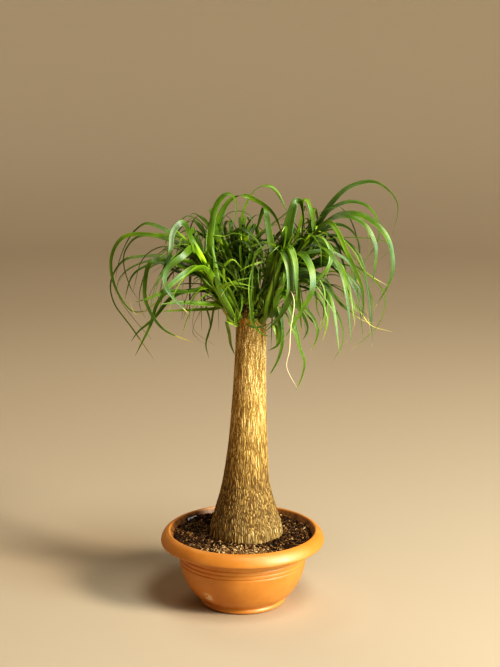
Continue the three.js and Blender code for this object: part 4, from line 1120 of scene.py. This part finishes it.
def blade_chain(leaf, stations, draw):
    """The stations along a leaf: places, faces, half widths, hollow, and what its finish reads."""
    points, length = even_points(leaf["route"], stations)
    along = np.linspace(0, 1, stations)
    tangent = unit(np.gradient(points, axis=0))
    bearing = even_points(leaf["route"], 3)[0][1] - points[0]
    level = unit(np.cross(bearing, (0, 0, 1)))
    side = unit(level - tangent * (tangent @ level)[:, None])
    roll = leaf.get("roll", ROLL) * bearing[0] / np.linalg.norm(bearing)
    turn = np.radians(leaf["turn"] * np.minimum(1, 3 * along) + roll * along)[:, None]
    side = side * np.cos(turn) + np.cross(tangent, side) * np.sin(turn)
    # The turn is eased over 7 stations, so that no blade kinks
    calm = [np.convolve(np.pad(side[:, axis], 3, "edge"), np.ones(7) / 7, "valid") for axis in range(3)]
    calm = np.stack(calm, -1)
    side = unit(calm - tangent * (tangent * calm).sum(1)[:, None])
    from_root = along * length
    hugging = leaf.get("hugging", 0)
    half = blade_width(leaf["width"], along) / 2 * (1 - 0.8 * along**9)
    half *= 1 + leaf.get("clasp", FOOT_SPREAD) * np.exp(-from_root / (SPREAD_REACH + hugging / 2))
    tip = leaf.get("dried", max(0.0, DRY_RANGE * draw() - DRY_LESS))
    dry = np.clip((along - 1 + tip * 1.25) / max(0.25 * tip, 0.004), 0, 1) if tip else 0 * along
    # Thin leaves start from a lighter tone: painted light
    least = BROAD_TONE if leaf["width"] > BROAD_WIDTH else THIN_PAINTED_LIGHT_TONE
    tone = leaf.get("tone", least + TONE_RANGE * draw())
    pale = leaf.get("heart", 1) * np.exp(-(((from_root - hugging) / leaf.get("blanch", BLANCH)) ** 2))
    # Painted light and shade: leaves in front are made lighter, leaves behind darker
    tone = tone + PAINTED_FRONT_LIGHT * np.clip(-points[:, 1] / FRONT_DEPTH, -1, 1)
    return {
        "place": points * MM, "face": np.cross(side, tangent), "half": half * MM,
        "hollow": LEAF_HOLLOW + FOOT_HOLLOW * np.exp(-from_root / (HOLLOW_REACH + hugging / 2)),
        "pale": np.maximum(pale, leaf.get("pale", 0)), "along": along, "dry": dry, "round": 0 * along,
        "tone": tone + leaf.get("lightness", 0),
    }


def stem_chain(head):
    """The stations along a head's stem."""
    points, _ = even_points(head["route"], STEM_STATIONS)
    along, still = np.linspace(0, 1, STEM_STATIONS), np.ones(STEM_STATIONS)
    thickness = (0.95 - 0.4 * along**2) * np.minimum(1, 0.35 + 5 * along)
    return {
        "place": points * MM, "face": unit(np.cross(np.gradient(points, axis=0), (0, 1, 0.2))),
        "half": head["radius"] * thickness * MM, "hollow": 0 * still, "pale": 0.2 * still,
        "along": 0 * still, "dry": 0 * still, "round": still, "tone": 0.1 + 0.3 * along,
    }


def sheath_leaves(head, draw):
    """The overlapping leaf bases that clasp a stem all the way up in a spiral, and part from it."""
    stem, length = even_points(head["route"], STEM_POINTS)
    last = STEM_POINTS - 1
    direction = unit(np.gradient(stem, axis=0))
    sheaths = []
    for index in range(int(0.8 * length / SHEATH_STEP)):
        first = index * SHEATH_STEP / length * last
        turn = index * LEAF_ANGLE + 0.5 * draw()
        reach = (0.32 + 0.24 * draw()) * (0.6 if head["radius"] < SMALL_RADIUS else 1)
        flare = 0.5 + 0.6 * draw()
        route = []
        for part, off in ((0, 0.7), (0.25, 1.04), (0.55, 1.3), (0.8, 0.5 + 0.65 * flare), (1, 0.6 + flare)):
            station = first + part * reach * last
            at = min(float(last), station)
            centre = [np.interp(at, np.arange(STEM_POINTS), stem[:, axis]) for axis in range(3)]
            heading = direction[int(at)]
            out = unit(np.cross(heading, (0.3, 1, 0)))
            out = out * math.cos(turn) + np.cross(heading, out) * math.sin(turn)
            past = max(0.0, station - last) * length / last
            spread = head["radius"] * (0.85 + FLARE * at / last)
            route.append((np.array(centre) + out * spread * off + heading * past).tolist())
        age = 1 - index * SHEATH_STEP / length
        dried = 0.3 + 0.5 * draw() if draw() < 3 * age - 2.7 else 0
        sheaths.append({
            "width": head["radius"] * (1.9 + 0.8 * draw()), "turn": 0, "roll": 0, "route": route,
            "dried": dried, "clasp": 0.3, "hugging": 0.5 * reach * length, "blanch": 30,
            "heart": 0.25 + 0.4 * age**2, "lightness": 0.05,
        })
    return sheaths


def young_leaves(head, draw):
    """Short steep leaves from a head's heart: broad and few, or on the young shoot fine and many."""
    stem, _ = even_points(head["route"], 12)
    axis = unit(stem[-1] - stem[-3])
    small = head["radius"] < SMALL_RADIUS
    looks = {"blanch": 40, "heart": 1.8, "lightness": 0.1}
    if small:
        looks = {"blanch": 15, "heart": 1, "lightness": 0.45, "clasp": 0}
    leaves = []
    for index in range(SPIKES if small else YOUNG_LEAVES):
        turn = index * LEAF_ANGLE + draw()
        out = np.array([math.cos(turn), math.sin(turn), 0.1])
        if small:
            reach, rise = 12 + 16 * draw(), 6 + 22 * draw()
        else:
            reach, rise = 16 + 44 * draw(), 38 + 52 * draw()
        root = stem[-1] - axis * (3 + 10 * draw()) * (0.5 if small else 1)
        route = []
        for up, aside, fall in YOUNG_STAGES:
            fallen = np.array([0, 0, fall * reach])
            route.append((root + axis * rise * up + out * reach * aside - fallen).tolist())
        width = 0.3 + 0.6 * draw() if small else 6 + 4 * draw()
        leaves.append({"width": width, "turn": 0, "route": route, **looks})
    return leaves


def strap_tree():
    """Blades swept along chains of points, hollowed along the middle, and round stems."""
    sizes = {"Sides": "Int", "Thickness": "Float", "Ripple": "Float", "Material": "Material"}
    tree, given, result = new_tree("strap_leaves", sizes)
    chains = add_node(tree, "GeometryNodeMeshToCurve", {"Mesh": given["Geometry"]})[0]
    face = named(tree, "face", "FLOAT_VECTOR")
    chains = add_node(tree, "GeometryNodeSetCurveNormal", {"Curve": chains, "Normal": face}, mode="FREE")[0]
    split = {"Geometry": chains, "Selection": named(tree, "round")}
    stems, blades = add_node(tree, "GeometryNodeSeparateGeometry", split, domain="CURVE")
    circle = {"Resolution": given["Sides"], "Radius": 1.0}
    circle = add_node(tree, "GeometryNodeCurvePrimitiveCircle", circle)[0]
    x, y, _ = add_node(tree, "ShaderNodeSeparateXYZ", {0: add_node(tree, "GeometryNodeInputPosition")[0]})
    flat = add_node(tree, "ShaderNodeCombineXYZ", {"X": product(tree, x, given["Thickness"]), "Y": y})[0]
    section = changed(tree, "SetPosition", circle, {"Position": flat})
    section = store(tree, store(tree, section, "across", y), "inner", x)
    half = named(tree, "half")

    def sweep(paths, profile):
        """A section swept along paths, as wide as each point's half width says."""
        inputs = {"Curve": paths, "Profile Curve": profile, "Scale": half, "Fill Caps": True}
        return add_node(tree, "GeometryNodeCurveToMesh", inputs)[0]

    across = named(tree, "across")
    hollow = product(tree, across, across, named(tree, "hollow"))
    wave = add_node(tree, "ShaderNodeTexNoise", {"Scale": 22.0, "Detail": 1.0})[0]
    ripple = product(tree, arithmetic(tree, "SUBTRACT", wave, 0.5), given["Ripple"], across)
    lift = product(tree, arithmetic(tree, "ADD", hollow, ripple), half)
    push = vector_arithmetic(tree, "SCALE", face, lift)
    swept = changed(tree, "SetPosition", sweep(blades, section), {"Offset": push})
    plain = changed(tree, "RealizeInstances", joined(tree, swept, sweep(stems, circle)))
    plain = changed(tree, "SetShadeSmooth", plain)
    tree.links.new(changed(tree, "SetMaterial", plain, {"Material": given["Material"]}), result)
    return tree


def chains_piece(name, chains, tree, settings):
    """One plain mesh of blades and stems, swept along the given chains."""
    edges, first = [], 0
    for chain in chains:
        count = len(chain["place"])
        edges += [(first + i, first + i + 1) for i in range(count - 1)]
        first += count
    whole = {label: np.concatenate([chain[label] for chain in chains]) for label in chains[0]}
    mesh = bpy.data.meshes.new(name)
    mesh.from_pydata(whole.pop("place").tolist(), edges, [])
    faces = whole.pop("face").astype(np.float32)
    for label, values in whole.items():
        set_values(mesh, label, values)
    mesh.attributes.new("face", "FLOAT_VECTOR", "POINT").data.foreach_set("vector", faces.ravel())
    piece = bpy.data.objects.new(name, mesh)
    bpy.context.scene.collection.objects.link(piece)
    grow_mesh(piece, tree, [settings])
    return piece


leaf_finish, leaf_tree, leaf_shader = new_material("strap_leaf", 0.39, 0.66)
labels = ("tone", "across", "along", "inner", "pale", "dry")
tone, across, along, inner, pale, dry = (read_value(leaf_tree, label) for label in labels)
along = product(leaf_tree, along, 0.25)
vein_place = add_node(leaf_tree, "ShaderNodeCombineXYZ", {"X": across, "Y": tone, "Z": along})[0]
veins = speckle(leaf_tree, vein_place, 9, 3, (1, 5, 1))
# Painted highlight: the blade's margins are made lighter than its folded middle
edge = fade(leaf_tree, arithmetic(leaf_tree, "ABSOLUTE", across), 0.55, 1.0)
patches = fade(leaf_tree, speckle(leaf_tree, object_place(leaf_tree), 26, 3), 0.3, 0.7, -0.10, 0.10)
green = arithmetic(leaf_tree, "ADD", tone, patches)
green = arithmetic(leaf_tree, "ADD", green, fade(leaf_tree, veins, 0.3, 0.7, -0.09, 0.09))
green = arithmetic(leaf_tree, "ADD", green, product(leaf_tree, edge, 0.12))
pale = product(leaf_tree, pale, fade(leaf_tree, inner, -0.3, 0.2, 0.22, 1.0))
pale = fade(leaf_tree, pale, 0.12, 0.95)
leaf_colour = blend_colours(leaf_tree, pale, add_ramp(leaf_tree, green, LEAF_TINTS), LEAF_BASE)
withered = blend_colours(leaf_tree, fade(leaf_tree, tone, 0.75, 0.95), LEAF_WITHERED, LEAF_DRY)
leaf_tree.links.new(blend_colours(leaf_tree, dry, leaf_colour, withered), leaf_shader["Base Color"])
leaf_tree.links.new(fade(leaf_tree, veins, 0.2, 0.8, 0.32, 0.46), leaf_shader["Roughness"])
raise_grain(leaf_tree, leaf_shader, veins, LEAF_GRAIN)

taken = []
leaves = {name: [] for name in HEADS}
for name, head in HEADS.items():
    taken.append((name, leaf_probes({"route": head["route"], "width": 2 * head["radius"]})))
for name, head in HEADS.items():
    for row in LEAVES[name]:
        leaves[name] += place_leaf(name, head, row, taken)
rule_draw = seeded_chance(41)
for name, head in HEADS.items():
    for index in range(head["grown"]):
        aim = head["bearing"] + head["spread"] * ((index + 0.5) / head["grown"] - 0.5)
        leaves[name] += grow_leaf(name, head, aim, GROWN, rule_draw, taken)
for name, head in HEADS.items():
    for row in THIN_LEAVES.get(name, []):
        leaves[name] += place_leaf(name, head, row, taken)
wisp_draw = seeded_chance(23)
for name, head in HEADS.items():
    for index in range(WISPS if head["grown"] else 0):
        leaves[name] += grow_leaf(name, head, index * WISP_TURN, WISP, wisp_draw, taken)

blade_sweep = strap_tree()
blade_sizes = {"Sides": LEAF_SIDES, "Thickness": LEAF_THICKNESS, "Ripple": LEAF_RIPPLE}
blade_sizes["Material"] = leaf_finish
finish_draw = seeded_chance(7)
for name, head in HEADS.items():
    chains = [blade_chain(leaf, LEAF_STATIONS, finish_draw) for leaf in leaves[name]]
    chains += [blade_chain(leaf, SHEATH_STATIONS, finish_draw) for leaf in sheath_leaves(head, finish_draw)]
    chains += [blade_chain(leaf, YOUNG_STATIONS, finish_draw) for leaf in young_leaves(head, finish_draw)]
    for owner, width, turn, route, looks in RIM_SCRAPS:
        if owner == name:
            scrap = {"width": width, "turn": turn, "route": route, **SCRAP_LOOKS, **looks}
            chains.append(blade_chain(scrap, SCRAP_STATIONS, finish_draw))
    chains.append(stem_chain(head))
    shoot = chains_piece(f"leafy_head_{name}", chains, blade_sweep, blade_sizes)
    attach(shoot, "root")
    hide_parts(f"head_{name}")


# The plant label: a bare white plastic strip with dark ends, pushed edgewise into the soil at the
# back left, and leaning out against the pot's rim.
# The strip's thickness, length and width, its place at the rim before it is turned to its bearing,
# and its lean and bearing in degrees
LABEL_SIZE = (1.2, 34, 13)
LABEL_PLACE = (132.5, 0, 135.5)
LABEL_LEAN = 32
LABEL_BEARING = 140
# The section of the strip with its corners eased, in shares of half its thickness and width
LABEL_SECTION = [(-1, -1), (-0.9, -1), (0.9, -1), (1, -0.97), (1, 0.97), (0.9, 1), (-0.9, 1), (-1, 0.97)]
# Shares of the half length at which the strip has a row of points, and where its ends begin to narrow
LABEL_SHARES = [-1, -0.985, *np.linspace(-0.93, 0.93, 15), 0.985, 1]
LABEL_ENDS = 0.93
LABEL_WHITE = (0.74, 0.75, 0.77, 1)
LABEL_DARK = (0.018, 0.02, 0.028, 1)

label_finish, label_tree, label_shader = new_material("label_plastic", 0.4, 0.5)
lengthwise = arithmetic(label_tree, "ABSOLUTE", read_value(label_tree, "lengthwise"))
dark = fade(label_tree, read_value(label_tree, "upward"), 0.86, 0.88)
dark = arithmetic(label_tree, "MAXIMUM", fade(label_tree, lengthwise, 0.78, 0.8), dark)
soiled = fade(label_tree, speckle(label_tree, object_place(label_tree), 260, 4), 0.45, 0.75, 0, 0.35)
label_colour = blend_colours(label_tree, soiled, LABEL_WHITE, POT_DUST)
label_tree.links.new(blend_colours(label_tree, dark, label_colour, LABEL_DARK), label_shader["Base Color"])

label_points = []
thick, long, high = (size / 2 for size in LABEL_SIZE)
for share in LABEL_SHARES:
    shrink = 1 - 0.1 * max(0.0, abs(share) - LABEL_ENDS) / (1 - LABEL_ENDS)
    for x, z in LABEL_SECTION:
        label_points.append([thick * x * shrink, long * share, high * (1 + z * shrink)])
label_points = np.array(label_points)
along_label, up_label = label_points[:, 1] / long, label_points[:, 2] / high / 2
label_faces = [face[::-1] for face in wrapped_faces(len(LABEL_SHARES), len(LABEL_SECTION))]
end_face = list(range(len(LABEL_SECTION)))
label_faces += [end_face, [len(label_points) - 1 - corner for corner in end_face]]
lean, bearing = math.radians(LABEL_LEAN), math.radians(LABEL_BEARING)
tilt = [[math.cos(lean), 0, math.sin(lean)], [0, 1, 0], [-math.sin(lean), 0, math.cos(lean)]]
swing = [[math.cos(bearing), -math.sin(bearing), 0], [math.sin(bearing), math.cos(bearing), 0], [0, 0, 1]]
label_points = (label_points @ np.array(tilt).T + LABEL_PLACE) @ np.array(swing).T
label = add_piece("label_strip", label_points * MM, label_faces, smooth=False)
set_values(label.data, "lengthwise", along_label)
set_values(label.data, "upward", up_label)
label.data.materials.append(label_finish)
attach(label, "root")
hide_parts("plant_label")


# The light: a large warm softbox high at the right, a plain one high in front, a cool one like a
# window low at the right, and a weak warm one behind, with the rich contrast of the photograph.
# Each light's place, the height that it faces over the plant's foot, its size, power and colour
LIGHTS = [
    ("key_light", (3.85, -2.55, 2.95), 0.45, 1.25, 266, (1.0, 0.885, 0.73)),
    ("sky_light", (1.2, -1.8, 4.6), 0.4, 1.7, 96, (0.91, 0.97, 0.96)),
    ("window_light", (3.2, -1.9, 1.0), 0.6, 1.4, 112, (0.62, 0.88, 1.0)),
    ("back_light", (-0.9, 2.1, 3.6), 0.6, 1.6, 20, (1.0, 0.93, 0.8)),
]
GLOW_COLOUR = (1.0, 0.86, 0.66, 1)
GLOW = 0.03

for name, place, aimed_at, size, power, colour in LIGHTS:
    light = bpy.data.lights.new(name, "AREA")
    light.size, light.energy, light.color = size, power, colour
    softbox = bpy.data.objects.new(name, light)
    softbox.location = place
    aim = mathutils.Vector((0, 0, aimed_at)) - mathutils.Vector(place)
    softbox.rotation_euler = aim.to_track_quat("-Z", "Y").to_euler()
    bpy.context.scene.collection.objects.link(softbox)
world = bpy.data.worlds.new("studio_glow")
world.use_nodes = True
world.node_tree.nodes["Background"].inputs["Color"].default_value = GLOW_COLOUR
world.node_tree.nodes["Background"].inputs["Strength"].default_value = GLOW
bpy.context.scene.world = world
bpy.context.scene.view_settings.view_transform = "Standard"
bpy.context.scene.view_settings.look = "High Contrast"
